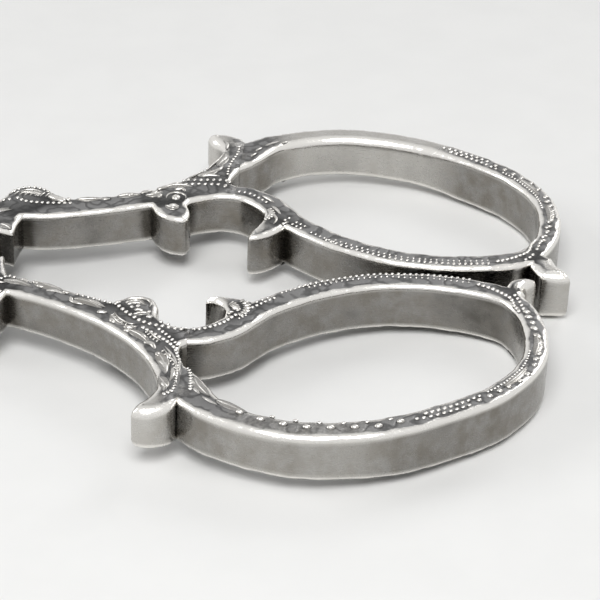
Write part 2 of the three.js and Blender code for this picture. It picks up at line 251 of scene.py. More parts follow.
def tarnished_color(tree, finish, tone, broad, cloud, shade_and_tarnish):
    """Grey walls with thin tarnish in clouds, dark tarnish in patches, and painted shade with tarnish
    in corners.
    """
    wall = [c * tone for c in finish.silver_color]
    tarnished = [c * t for c, t in zip(wall, finish.tarnish_tint)]
    cloudy = blend(tree, "RGBA", spread(tree, cloud, 0.3, 0.7), tarnished, wall)
    shaded = blend(tree, "RGBA", spread(tree, broad, 0.35, 0.65, 0.0, 0.5), cloudy, wall)
    smoke = reckon(tree, "ADD", swing(tree, cloud, 0.6), swing(tree, broad, 2.4))
    # Painted shade with tarnish in corners, and random dark patches, darken the walls
    shade_and_tarnish_share = spread(tree, reckon(tree, "ADD", shade_and_tarnish, smoke), 0.05, 0.9)
    return blend(tree, "RGBA", shade_and_tarnish_share, shaded, [c * SHADE_AND_TARNISH_TONE for c in tarnished])


def ground_color(tree, finish, worked, grain, shade_and_tarnish):
    """Oxidised silver between the ornament, lighter where it is worked up, and painted dark round the
    ornament's feet with painted shade and tarnish.
    """
    dark, light = ([c * tone for c in finish.ground_color] for tone in GROUND_TONES)
    lit = spread(tree, reckon(tree, "ADD", worked, grain), 0.35, 1.5)
    return blend(tree, "RGBA", shade_and_tarnish, blend(tree, "RGBA", lit, finish.ground_color, light), dark)


def silver_roughness(tree, finish, dull, cloud, marks, gleam, clean):
    smooth, rough = finish.wall_roughness - 0.05 + dull, finish.wall_roughness + 0.09 + dull
    worn = spread(tree, cloud, 0.3, 0.7, smooth, rough)
    marked = reckon(tree, "ADD", worn, reckon(tree, "MULTIPLY", marks, 0.12))
    open_roughness = reckon(tree, "MULTIPLY", marked, spread(tree, gleam, 0.0, 1.0, 1.0, 0.75))
    return blend(tree, "FLOAT", clean, finish.ground_roughness, open_roughness)


def silver_height(tree, plain, worked, grain, marks, clean):
    """File marks all over, scratches cut in, and a punched and chased ground."""
    sunk = reckon(tree, "SUBTRACT", 1.0, clean)
    cells = add_node(tree, "ShaderNodeTexVoronoi", {"Scale": PUNCHES}, {"Vector": plain})
    punched = spread(tree, cells.outputs["Distance"], 0.1, 0.5)
    filed = noise(tree, object_point(tree, (350.0, 900.0, 250.0)), 1.0, 2.0)
    height = reckon(tree, "MULTIPLY", filed, 0.5)
    for layer, share in ((marks, -0.05), (reckon(tree, "MULTIPLY", punched, sunk), 0.35),
                         (reckon(tree, "MULTIPLY", worked, sunk), 1.6), (grain, 0.05)):
        height = reckon(tree, "ADD", height, reckon(tree, "MULTIPLY", layer, share))
    return height


def silver(name, finish, tone=1.0, dull=0.0):
    """Cast silver: bright on worn edges, wear with painted highlight, grey on the walls, with painted
    shade and tarnish in corners, and dark in the sunk ground.
    """
    material, tree, shader = node_tree(name)
    rise, gleam, shade_and_tarnish = (
        add_node(tree, "ShaderNodeAttribute", {"attribute_name": layer}).outputs["Fac"]
        for layer in LAYERS)
    plain = object_point(tree)
    broad = noise(tree, plain, PATCHES, 3.0)
    cloud = noise(tree, plain, CLOUDS, 5.0, 0.6)
    grain = noise(tree, plain, GRAINS, 4.0, 0.6)
    ridge = reckon(tree, "ABSOLUTE", swing(tree, noise(tree, plain, RIDGES, 1.0, 0.4), 1.0))
    worked = spread(tree, ridge, 0.0, 0.13)
    marks = hairlines(tree)
    clean = spread(tree, reckon(tree, "ADD", rise, swing(tree, grain, 0.7)), 0.1, 0.85)

    # Worn edges are painted brighter, wear with painted highlight
    bright = [min(1.0, c * tone * finish.edge_gain) for c in finish.silver_color]
    walls = tarnished_color(tree, finish, tone, broad, cloud, shade_and_tarnish)
    polished = blend(tree, "RGBA", gleam, walls, bright)
    ground = ground_color(tree, finish, worked, grain, shade_and_tarnish)
    feed(tree, shader.inputs["Base Color"], blend(tree, "RGBA", clean, ground, polished))
    shader.inputs["Metallic"].default_value = 1.0
    roughness = silver_roughness(tree, finish, dull, cloud, marks, gleam, clean)
    feed(tree, shader.inputs["Roughness"], roughness)
    height = silver_height(tree, plain, worked, grain, marks, clean)
    bump = add_node(tree, "ShaderNodeBump", {"Strength": 0.5, "Distance": BUMP_DEPTH},
                    {"Height": height})
    feed(tree, shader.inputs["Normal"], bump.outputs["Normal"])
    return material


# Mesh helpers

def finish_piece(bm, name, material, half, replaced=None, sharp=SHARP):
    """Makes the bmesh an object that rides with its half."""
    mesh = bpy.data.meshes.new(name)
    bm.to_mesh(mesh)
    bm.free()
    mesh.set_sharp_from_angle(angle=sharp)
    mesh.materials.append(material)
    piece = bpy.data.objects.new(name, mesh)
    bpy.context.scene.collection.objects.link(piece)
    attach(piece, BODY[half])
    if replaced:
        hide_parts(replaced)


def layers_of(bm):
    """The vertex values that the silver reads: rise over the ground, wear with painted highlight, and
    painted shade with tarnish in corners and crevices.
    """
    found = bm.verts.layers.float
    return [found.get(name) or found.new(name) for name in LAYERS]


def mark_all(bm, values):
    for layer, value in zip(layers_of(bm), values):
        for vert in bm.verts:
            vert[layer] = value


def new_items(result, kind):
    """The vertices, edges or faces that a bmesh operator made."""
    return [item for item in result["geom"] if isinstance(item, kind)]


def smooth_all(bm):
    for face in bm.faces:
        face.smooth = True


# Straps

def distance_to(points, starts, ends):
    """The distance of each point to the nearest of its own few plan segments."""
    along = ends - starts
    squared = np.maximum((along ** 2).sum(2), TINY ** 2)
    offset = points[:, None, :] - starts
    share = np.clip((offset * along).sum(2) / squared, 0.0, 1.0)
    gap = offset - share[..., None] * along
    return np.sqrt((gap ** 2).sum(2)).min(1)


def rim_of(faces):
    """The corners round a flat region, loop after loop, with the region on their inner side."""
    inside = set(faces)
    ahead = {}
    for face in faces:
        for corner in face.loops:
            if sum(other in inside for other in corner.edge.link_faces) > 1:
                continue
            following = corner.link_loop_next
            while sum(other in inside for other in following.edge.link_faces) > 1:
                following = next(
                    other for other in following.edge.link_loops
                    if other.face in inside and other.face != following.face).link_loop_next
            ahead[corner] = following
    return ahead


class Rim:
    """The outline of a strap's flat side, as plan points that walk inwards."""

    def __init__(self, faces, up, seams):
        ahead = rim_of(faces)
        corners = list(ahead)
        place = {corner: i for i, corner in enumerate(corners)}
        self.verts = [corner.vert for corner in corners]
        self.points = np.array([vert.co.xy[:] for vert in self.verts])
        self.ahead = np.array([place[ahead[corner]] for corner in corners])
        self.behind = np.zeros(len(corners), int)
        self.behind[self.ahead] = np.arange(len(corners))
        self.up = up
        following = self.points[self.ahead]
        self.is_seam = np.zeros(len(corners), bool)
        for seam in seams:
            on_seam = abs(self.points[:, 0] - seam) < ON_SEAM
            self.is_seam |= on_seam & (abs(following[:, 0] - seam) < ON_SEAM)

    def loops(self):
        left = set(range(len(self.verts)))
        while left:
            first = min(left)
            loop = [first]
            left.remove(first)
            while self.ahead[loop[-1]] != first:
                loop.append(int(self.ahead[loop[-1]]))
                left.remove(loop[-1])
            yield loop

    def headings(self):
        """Inward directions. An end of a seam slides along the seam."""
        edge = self.points[self.ahead] - self.points
        edge /= np.maximum(np.linalg.norm(edge, axis=1), TINY)[:, None]
        inward = self.up * np.stack([-edge[:, 1], edge[:, 0]], 1)
        inward[self.is_seam] = 0.0
        heading = inward + inward[self.behind]
        seam_before = self.is_seam[self.behind]
        opening = self.is_seam & ~seam_before
        closing = seam_before & ~self.is_seam
        heading[opening] = edge[opening]
        heading[closing] = -edge[self.behind][closing]
        return heading / np.maximum(np.linalg.norm(heading, axis=1), TINY)[:, None]

    def hollows(self, reach):
        """How sharply the outline turns inwards near each point, where the walls are painted dark:
        tarnish that polish doesn't reach, with painted shade.
        """
        edge = self.points[self.ahead] - self.points
        angle = np.arctan2(edge[:, 1], edge[:, 0])
        turn = -self.up * np.angle(np.exp(1j * (angle - angle[self.behind])))
        turn[self.is_seam | self.is_seam[self.behind]] = 0.0
        gap = np.linalg.norm(self.points[:, None] - self.points[None], axis=2)
        near = np.clip(1.0 - gap / reach, 0.0, 1.0)
        return np.clip((near * turn[None]).sum(1), 0.0, 1.0)

    def waver(self, amount):
        """How a hand-filed edge swells and thins along the outline, about 1."""
        swell = np.zeros(len(self.verts))
        for loop in self.loops():
            points = self.points[loop]
            lengths = np.linalg.norm(np.roll(points, -1, 0) - points, axis=1) / MM
            run = np.concatenate([[0.0], np.cumsum(lengths)[:-1]])
            for period, share, phase in FILE_WAVES:
                turns = max(1, round(lengths.sum() / period))
                swell[loop] += share * np.sin(2 * math.pi * turns * run / lengths.sum() + phase)
        if self.is_seam.any():
            gap = self.points[:, None] - self.points[self.is_seam][None]
            near_seam = np.linalg.norm(gap, axis=2).min(1)
            swell *= np.clip(near_seam / SEAM_CALM, 0.0, 1.0)
        return 1.0 + amount * swell

    def walk(self, insets, waver):
        """Where the outline's points lie after each inset, and how deep inside they got.

        Where the strap is too narrow for an inset, a point stops on the middle line.
        """
        heading = self.headings()
        starts, ends = self.points[~self.is_seam], self.points[self.ahead][~self.is_seam]
        away = np.linalg.norm(self.points[:, None] - (starts + ends)[None] / 2, axis=2)
        close = np.argsort(away, axis=1)[:, :NEIGHBOURS]
        starts, ends = starts[close], ends[close]
        count = len(self.points)
        insets = np.array(insets)
        targets = insets[None] * waver[:, None]
        found = np.full((count, len(insets)), np.nan)
        found[:, insets == 0.0] = 0.0
        best, walked = np.zeros(count), np.zeros(count)
        frozen = np.zeros(count, bool)
        before, before_step = np.zeros(count), 0.0
        for step in np.linspace(0.0, insets.max() * WALK_REACH, WALK_STEPS)[1:]:
            gap = distance_to(self.points + heading * step, starts, ends)
            frozen |= gap < best - STALL
            open_now = ~frozen
            passed = open_now[:, None] & np.isnan(found) & (gap[:, None] >= targets)
            grown = np.maximum(gap - before, TINY)[:, None]
            exact = before_step + (step - before_step) * (targets - before[:, None]) / grown
            found = np.where(passed, exact, found)
            best = np.where(open_now, gap, best)
            walked = np.where(open_now, step, walked)
            before, before_step = gap, step
        stopped = np.isnan(found)
        depth = np.where(stopped, best[:, None], targets) / waver[:, None]
        travel = np.where(stopped, walked[:, None], found)
        places = self.points[:, None, :] + heading[:, None, :] * travel[..., None]
        self.spread_seams(places, depth)
        return places, depth

    def spread_seams(self, places, depth):
        """Points along a seam share out the way between its two moved ends."""
        for first in np.flatnonzero(self.is_seam & ~self.is_seam[self.behind]):
            run = [int(first)]
            while self.is_seam[run[-1]]:
                run.append(int(self.ahead[run[-1]]))
            for i, point in enumerate(run[1:-1], 1):
                share = i / (len(run) - 1)
                places[point] = places[run[0]] * (1 - share) + places[run[-1]] * share
                depth[point] = depth[run[0]]


def side_plane(bm, up):
    """Centre and normal of a strap's flat upper or lower side."""
    flat = [face for face in bm.faces if face.normal.z * up > UPRIGHT]
    widest = max(flat, key=lambda face: face.calc_area())
    centre, normal, area = Vector(), Vector(), 0.0
    for face in flat:
        middle, size = face.calc_center_median(), face.calc_area()
        if abs((middle - widest.calc_center_median()).dot(widest.normal)) < LEVEL_GAP:
            centre += middle * size
            normal += face.normal * size
            area += size
    return centre / area, normal.normalized()


def level_at(plane, x, y):
    centre, normal = plane
    return centre.z - (normal.x * (x - centre.x) + normal.y * (y - centre.y)) / normal.z


def side_faces(bm, plane):
    centre, normal = plane
    level = {vert for vert in bm.verts if abs((vert.co - centre).dot(normal)) < IN_PLANE}
    return [face for face in bm.faces if level.issuperset(face.verts)]


def outer_edges(faces):
    inside = set(faces)
    found = {edge for face in faces for edge in face.edges}
    return [edge for edge in found if sum(f in inside for f in edge.link_faces) == 1]


def strap_copy(node, bored=False):
    """A CAD strap with each flat side one whole face, or a bored disc with its faces as they are."""
    bm = bmesh.new()
    bm.from_mesh(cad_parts[node].data)
    bmesh.ops.remove_doubles(bm, verts=bm.verts, dist=MERGE_GAP)
    bmesh.ops.dissolve_degenerate(bm, dist=MERGE_GAP, edges=bm.edges)
    bm.normal_update()
    planes = {}
    for up in BOTH_SIDES:
        centre, normal = planes[up] = side_plane(bm, up)
        for vert in bm.verts:
            gap = (vert.co - centre).dot(normal)
            if abs(gap) < LEVEL_GAP / 2:
                vert.co.z -= gap / normal.z
    bm.normal_update()
    for plane in planes.values():
        if bored:
            continue
        bmesh.ops.dissolve_faces(bm, faces=side_faces(bm, plane), use_verts=True)
        if len(side_faces(bm, plane)) != 1:
            raise RuntimeError(f"{node}: a flat side isn't one whole face")
    bm.normal_update()
    flat = {face for plane in planes.values() for face in side_faces(bm, plane)}
    walls = [edge for edge in bm.edges if not flat.intersection(edge.link_faces)]
    bmesh.ops.dissolve_limit(bm, angle_limit=FLAT, verts=[], edges=walls)
    if bored:
        bmesh.ops.dissolve_degenerate(bm, dist=SLIVER, edges=bm.edges)
    bm.normal_update()
    return bm, planes


def cut_long_edges(bm, faces, longest):
    """Cuts the outline into short steps, and the walls below it to match."""
    inside = set(faces)
    by_cuts = {}
    for edge in outer_edges(faces):
        cuts = int(edge.calc_length() / longest)
        walls = [face for face in edge.link_faces if face not in inside]
        group = [edge]
        if walls and len(walls[0].verts) == 4:
            corner = next(corner for corner in walls[0].loops if corner.edge == edge)
            group.append(corner.link_loop_next.link_loop_next.edge)
        if cuts:
            by_cuts.setdefault(cuts, set()).update(group)
    done = set()
    for cuts, group in by_cuts.items():
        fresh = [edge for edge in group if edge.is_valid and edge not in done]
        done.update(fresh)
        bmesh.ops.subdivide_edges(bm, edges=fresh, cuts=cuts, use_only_quads=True)


def polish_at(node, half, points):
    """How plain and polished each plan point is, and how much wider its rounded edge gets."""
    polish, rounder = np.zeros(len(points)), np.ones(len(points))
    for x, y, reach, most, wider in POLISHED.get(node, []):
        centre = np.array(plan(half, x, y).xy)
        gap = np.linalg.norm(points - centre, axis=1) / (reach * MM)
        close = np.clip(1.6 - 1.3 * gap, 0.0, 1.0)  # whole to half the reach, gone a little past it
        polish = np.maximum(polish, most * close)
        rounder = np.maximum(rounder, 1.0 + wider * close)
    return polish, rounder


def wear_tips(bm, node, half, planes):
    """Takes the corners off the outline of each plain tip."""
    for x, y, reach, most, _ in POLISHED.get(node, []):
        if most < 1.0:
            continue
        centre = plan(half, x, y).xy
        near = [vert for vert in bm.verts if (vert.co.xy - centre).length < reach * MM]
        for _ in range(TIP_PASSES):
            bmesh.ops.smooth_vert(bm, verts=near, factor=0.5, use_axis_x=True, use_axis_y=True)
        for vert in near:
            for plane in planes.values():
                level = level_at(plane, vert.co.x, vert.co.y)
                if abs(vert.co.z - level) < LEVEL_GAP:
                    vert.co.z = level


def refill(bm, faces, up):
    """Fills a flat region with a hole afresh, so that no triangle is folded over."""
    edges = outer_edges(faces)
    bmesh.ops.delete(bm, geom=faces, context="FACES")
    grown = bmesh.ops.triangle_fill(bm, edges=edges, use_beauty=True, normal=(0.0, 0.0, up))
    return new_items(grown, bmesh.types.BMFace)


def dress_side(bm, up, plane, seams, straps, node, half, bored):
    """Gives one flat side of a strap its rounded edge and sunk ground."""
    rise, gleam, shade_and_tarnish = layers_of(bm)
    number = bm.verts.layers.int.get("number") or bm.verts.layers.int.new("number")
    faces = side_faces(bm, plane)
    rim = Rim(faces, up, seams)
    for vert in bm.verts:
        vert[number] = 0
    for i, vert in enumerate(rim.verts):
        vert[number] = i + 1
    width, drop, sunk = straps.edge_width, straps.edge_drop, straps.ground_depth
    section = [(width * share, sunk + drop * fall) for share, fall, _, _ in EDGE_SHARES]
    polish, rounder = polish_at(node, half, rim.points)
    waver = rounder * (1.0 + (rim.waver(straps.waver) - 1.0) * (1.0 - TIP_CALM * polish))
    hollow = rim.hollows(straps.corner_reach)
    places, depth = rim.walk([inset for inset, _ in section], waver)
    rounded = [inset for inset, _ in section[1:]]
    followed = [[fall for _, fall in section[1:]], *list(zip(*EDGE_SHARES[1:]))[2:]]
    for step, (inset, fall) in enumerate(section):
        verts = rim.verts
        if step:
            grown = bmesh.ops.extrude_face_region(bm, geom=faces)
            bmesh.ops.delete(bm, geom=faces, context="FACES_ONLY")
            faces = new_items(grown, bmesh.types.BMFace)
            verts = new_items(grown, bmesh.types.BMVert)
        for vert in verts:
            i = vert[number] - 1
            if i < 0:
                continue
            fell, lifted, worn = fall, *EDGE_SHARES[step][2:]
            if inset > 0.0:
                fell, lifted, worn = (
                    float(np.interp(depth[i, step], rounded, values)) for values in followed)
            fell = sunk + (fell - sunk) * rounder[i]
            x, y = places[i, step]
            vert.co = (x, y, level_at(plane, x, y) - up * fell)
            # The rounded edge is painted bright, wear with painted highlight; walls by inner corners
            # are painted dark, tarnish with painted shade
            vert[rise] = max(lifted, polish[i])
            vert[gleam] = max(worn, TIP_GLEAM * polish[i])
            on_disc = bored and step == len(section) - 1
            vert[shade_and_tarnish] = 0.0 if on_disc else hollow[i] * (1.0 - WORN_CLEAN * worn)
    return refill(bm, faces, up) if bored else faces


def dress_strap(node, name, half, seams, straps, material, bored=False, sides=BOTH_SIDES):
    """A strap or disc with rounded edges and a sunk ground on the given sides."""
    bm, planes = strap_copy(node, bored)
    mark_all(bm, (1.0, 0.0, 0.0))
    for plane in planes.values():
        cut_long_edges(bm, side_faces(bm, plane), straps.grain)
    wear_tips(bm, node, half, planes)
    for plane in planes.values():
        bmesh.ops.triangulate(bm, faces=side_faces(bm, plane), ngon_method="BEAUTY")
    smooth_all(bm)
    for up in sides:
        for face in dress_side(bm, up, planes[up], seams, straps, node, half, bored):
            face.smooth = False
    bm.verts.layers.int.remove(bm.verts.layers.int["number"])
    bmesh.ops.dissolve_degenerate(bm, dist=SPECK, edges=bm.edges)
    bm.normal_update()
    finish_piece(bm, name, material, half, node)


# Chased ornament: sizes in millimetres

CURVE_STEPS = 8  # between two points of a path
LENGTH_STEPS = 40  # of a path that is measured
OVERHANG = 0.7  # what reaches further past the edge than this is left out
EDGE_MARGIN = 0.4  # the most that a line keeps from the edge
SPINDLE_SIDES = 10
SPINDLE_POWER = 0.65  # below 1 a spindle is blunter than a sine
FLARE = 1.28  # a spindle's foot against its waist
FLAT_FOOT = 0.1  # a spindle's sides that rise less than this are its foot
FOOT_HEIGHT = 0.01
# A spindle's sides lower than this are painted dark, painted shade with tarnish at its foot
SHADED_FOOT_HEIGHT = 0.02
CLEAN_HEIGHT = 0.07
STROKE_HEIGHT = 0.11
STROKE_STEP = 0.16
BEAD_HEIGHT = 0.2
LEAF_HEIGHT = 0.075
VEIN_WIDTH = 0.15
VEIN_HEIGHT = 0.115
LEAF_RINGS = 12
BEAD_RINGS = 5
ARC_POINTS = 7
TOOTH_LEAN = 0.35  # how far a comb's tooth leans along its ridge
TOOTH_TAPER = -0.4
RIB_TAPER = -0.3
VINE_POINTS = 60
VINE_STEP = 2  # a leaf on every second point of the vine


def smooth_path(points, count):
    """Evenly spaced points on a soft curve through plan points."""
    points = [np.array(point, float) for point in points]
    if len(points) > 2:
        ends = [2 * points[0] - points[1], *points, 2 * points[-1] - points[-2]]
        fine = []
        for a, b, c, d in zip(ends, ends[1:], ends[2:], ends[3:]):
            for share in np.arange(CURVE_STEPS) / CURVE_STEPS:
                fine.append(0.5 * (2 * b + (c - a) * share + (2 * a - 5 * b + 4 * c - d) * share ** 2
                                   + (3 * b - a - 3 * c + d) * share ** 3))
        points = [*fine, points[-1]]
    points = np.array(points)
    run = np.concatenate([[0.0], np.cumsum(np.linalg.norm(np.diff(points, axis=0), axis=1))])
    spots = np.linspace(0.0, run[-1], count)
    return np.stack([np.interp(spots, run, points[:, 0]), np.interp(spots, run, points[:, 1])], 1)


def path_length(points):
    path = smooth_path(points, LENGTH_STEPS)
    return np.linalg.norm(np.diff(path, axis=0), axis=1).sum()


class Chaser:
    """Lays beads and leaf strokes on the flat sides of one piece, in its half's plan."""

    def __init__(self, node, half, straps, bored=False, sides=BOTH_SIDES):
        self.half = half
        copy, planes = strap_copy(node, bored)
        self.rim = Rim(side_faces(copy, planes[BOTH_SIDES[0]]), BOTH_SIDES[0], [])
        self.planes = {up: planes[up] for up in sides}
        copy.free()
        self.outline = (self.rim.points - np.array(PIVOT.xy)) / MM * np.array([1.0, SIDE[half]])
        self.ground = straps.ground_depth
        self.parts = []

    def place(self, spot, up, height):
        """A plan point in millimetres and a height over the ground, in the row's frame."""
        point = plan(self.half, *spot)
        point.z = level_at(self.planes[up], point.x, point.y) - up * self.ground + up * height
        return point

    def edge_near(self, line):
        """For each plan point, the nearest outline point, the way inwards there, and how far in."""
        starts, ends = self.outline, self.outline[self.rim.ahead]
        along = ends - starts
        offset = line[:, None] - starts[None]
        share = np.clip((offset * along[None]).sum(2) / (along ** 2).sum(1)[None], 0.0, 1.0)
        away = np.linalg.norm(offset - share[..., None] * along[None], axis=2)
        nearest = away.argmin(1)
        inward = SIDE[self.half] * np.stack([-along[:, 1], along[:, 0]], 1)
        inward = (inward / np.linalg.norm(inward, axis=1)[:, None])[nearest]
        rows = np.arange(len(line))
        foot = starts[nearest] + share[rows, nearest][:, None] * along[nearest]
        side = np.sign(((line - foot) * inward).sum(1))
        return foot, inward, side * away[rows, nearest]

    def keep_on(self, line, margin):
        """Moves a line that would overhang the edge onto the strap, or gives None."""
        foot, inward, inside = self.edge_near(line)
        if inside.min() < -OVERHANG:
            return None
        line = np.where((inside < margin)[:, None], foot + inward * margin, line)
        return line if self.edge_near(line)[2].min() > margin / 2 else None

    def shape(self, path, width, height, taper, rings, gleam):
        """A spindle along a path: thick at its start for a positive taper.

        It keeps a margin from the strap's edge, and one that would hang over it is left out.
        """
        margin = min(EDGE_MARGIN, 0.45 * width + 0.1)
        line = self.keep_on(smooth_path(path, rings + 1), margin)
        if line is None:
            return
        ways = np.gradient(line, axis=0)
        ways /= np.maximum(np.linalg.norm(ways, axis=1), TINY)[:, None]
        part = bmesh.new()
        rise, worn, shade_and_tarnish = layers_of(part)
        for up in self.planes:
            made = bmesh.ops.create_uvsphere(
                part, u_segments=SPINDLE_SIDES, v_segments=rings, radius=1.0)["verts"]
            for vert in made:
                turn = math.acos(max(-1.0, min(1.0, vert.co.z)))
                step = round(turn / math.pi * rings)
                share = step / rings
                girth = math.sin(math.pi * share) ** SPINDLE_POWER * (1.0 + taper * (1.0 - 2.0 * share))
                if step in (0, rings):
                    girth = 0.0
                around = math.atan2(vert.co.y, vert.co.x)
                flare = FLARE if abs(math.sin(around)) < FLAT_FOOT else 1.0
                out = math.cos(around) * width / 2 * girth * flare
                over = math.sin(around) * height * girth + FOOT_HEIGHT
                x, y = line[step] + out * np.array([-ways[step][1], ways[step][0]])
                vert.co = self.place((x, y), up, over * MM)
                # A spindle's top is painted bright, wear with painted highlight, and its foot painted
                # dark, painted shade with tarnish where it meets the ground
                vert[rise] = min(1.0, max(0.0, over / CLEAN_HEIGHT))
                vert[worn] = gleam * min(1.0, max(0.0, over / height))
                vert[shade_and_tarnish] = 1.0 if over < SHADED_FOOT_HEIGHT else 0.0
        mesh = bpy.data.meshes.new("chased part")
        part.to_mesh(mesh)
        part.free()
        self.parts.append(mesh)

    def bead(self, spot, radius, reach=1.0, way=(1.0, 0.0)):
        """A bead, drawn out along a way by its reach."""
        half = np.array(way, float)
        half *= radius * reach / max(np.linalg.norm(half), TINY)
        centre = np.array(spot, float)
        height = min(0.8 * radius, BEAD_HEIGHT)
        self.shape([centre - half, centre + half], 2 * radius, height, 0.0, BEAD_RINGS, 0.8)

    def stroke(self, path, width, height=STROKE_HEIGHT, taper=0.0):
        rings = max(6, min(24, int(path_length(path) / STROKE_STEP)))
        self.shape(path, width, height, taper, rings, 0.6)

    def strokes(self, paths, width, height, taper):
        for path in paths:
            self.stroke(path, width, height, taper)

    def leaf(self, path, width, taper=0.3):
        """A broad low leaf with a raised vein."""
        self.shape(path, width, LEAF_HEIGHT, taper, LEAF_RINGS, 0.2)
        self.shape(path, VEIN_WIDTH, VEIN_HEIGHT, taper, LEAF_RINGS, 0.7)

    def leaves(self, paths, width):
        for path in paths:
            self.leaf(path, width)

    def row(self, path, spacing, radius, reach=1.0, across=False, grow=0.0):
        """Beads along a path, each drawn out along it or across it."""
        count = max(2, round(path_length(path) / spacing) + 1)
        line = smooth_path(path, count)
        ways = np.gradient(line, axis=0)
        for i, (spot, way) in enumerate(zip(line, ways)):
            if across:
                way = (-way[1], way[0])
            self.bead(spot, radius * (1.0 + grow * i / count), reach, way)

    def comb(self, path, teeth, length, width=0.14):
        """A ridge with short teeth on one side; a negative length puts them on the other."""
        self.stroke(path, width)
        line = smooth_path(path, teeth + 2)
        ways = np.gradient(line, axis=0)
        for spot, way in list(zip(line, ways))[1:-1]:
            way = way / np.linalg.norm(way)
            slant = np.array([-way[1], way[0]]) * length + way * abs(length) * TOOTH_LEAN
            self.stroke([spot, spot + slant], width, taper=TOOTH_TAPER)

    def fan(self, centre, inner, outer, start, end, count, width):
        """Ribs that spread from a centre, between two bearings in degrees."""
        for angle in np.radians(np.linspace(start, end, count)):
            way = np.array([math.cos(angle), math.sin(angle)])
            self.stroke([centre + inner * way, centre + outer * way], width, taper=RIB_TAPER)

    def arc(self, centre, radius, start, end, width):
        """A curved ridge round a centre, between two bearings in degrees."""
        angles = np.radians(np.linspace(start, end, ARC_POINTS))
        self.stroke([(centre[0] + radius * math.cos(a), centre[1] + radius * math.sin(a))
                     for a in angles], width)

    def flank(self, start, end, inset):
        """The strap's outline between the points nearest to two plan points, moved inwards."""
        ends = [int(np.linalg.norm(self.outline - spot, axis=1).argmin()) for spot in (start, end)]
        runs = []
        for step in (self.rim.ahead, self.rim.behind):
            run = [ends[0]]
            while run[-1] != ends[1]:
                run.append(int(step[run[-1]]))
            runs.append(run)
        run = min(runs, key=lambda r: np.linalg.norm(np.diff(self.outline[r], axis=0), axis=1).sum())
        places, _ = self.rim.walk([inset * MM], np.ones(len(self.rim.points)))
        spots = (places[run, 0] - np.array(PIVOT.xy)) / MM * np.array([1.0, SIDE[self.half]])
        return [tuple(spot) for spot in spots]

    def finish(self, name, material, slot):
        bm = bmesh.new()
        for mesh in self.parts:
            bm.from_mesh(mesh)
            bpy.data.meshes.remove(mesh)
        bmesh.ops.dissolve_degenerate(bm, dist=SPECK, edges=bm.edges)
        bmesh.ops.recalc_face_normals(bm, faces=bm.faces)
        smooth_all(bm)
        finish_piece(bm, name, material, self.half, sharp=math.pi)


def moved(points, x):
    return [(px + x, py) for px, py in points]


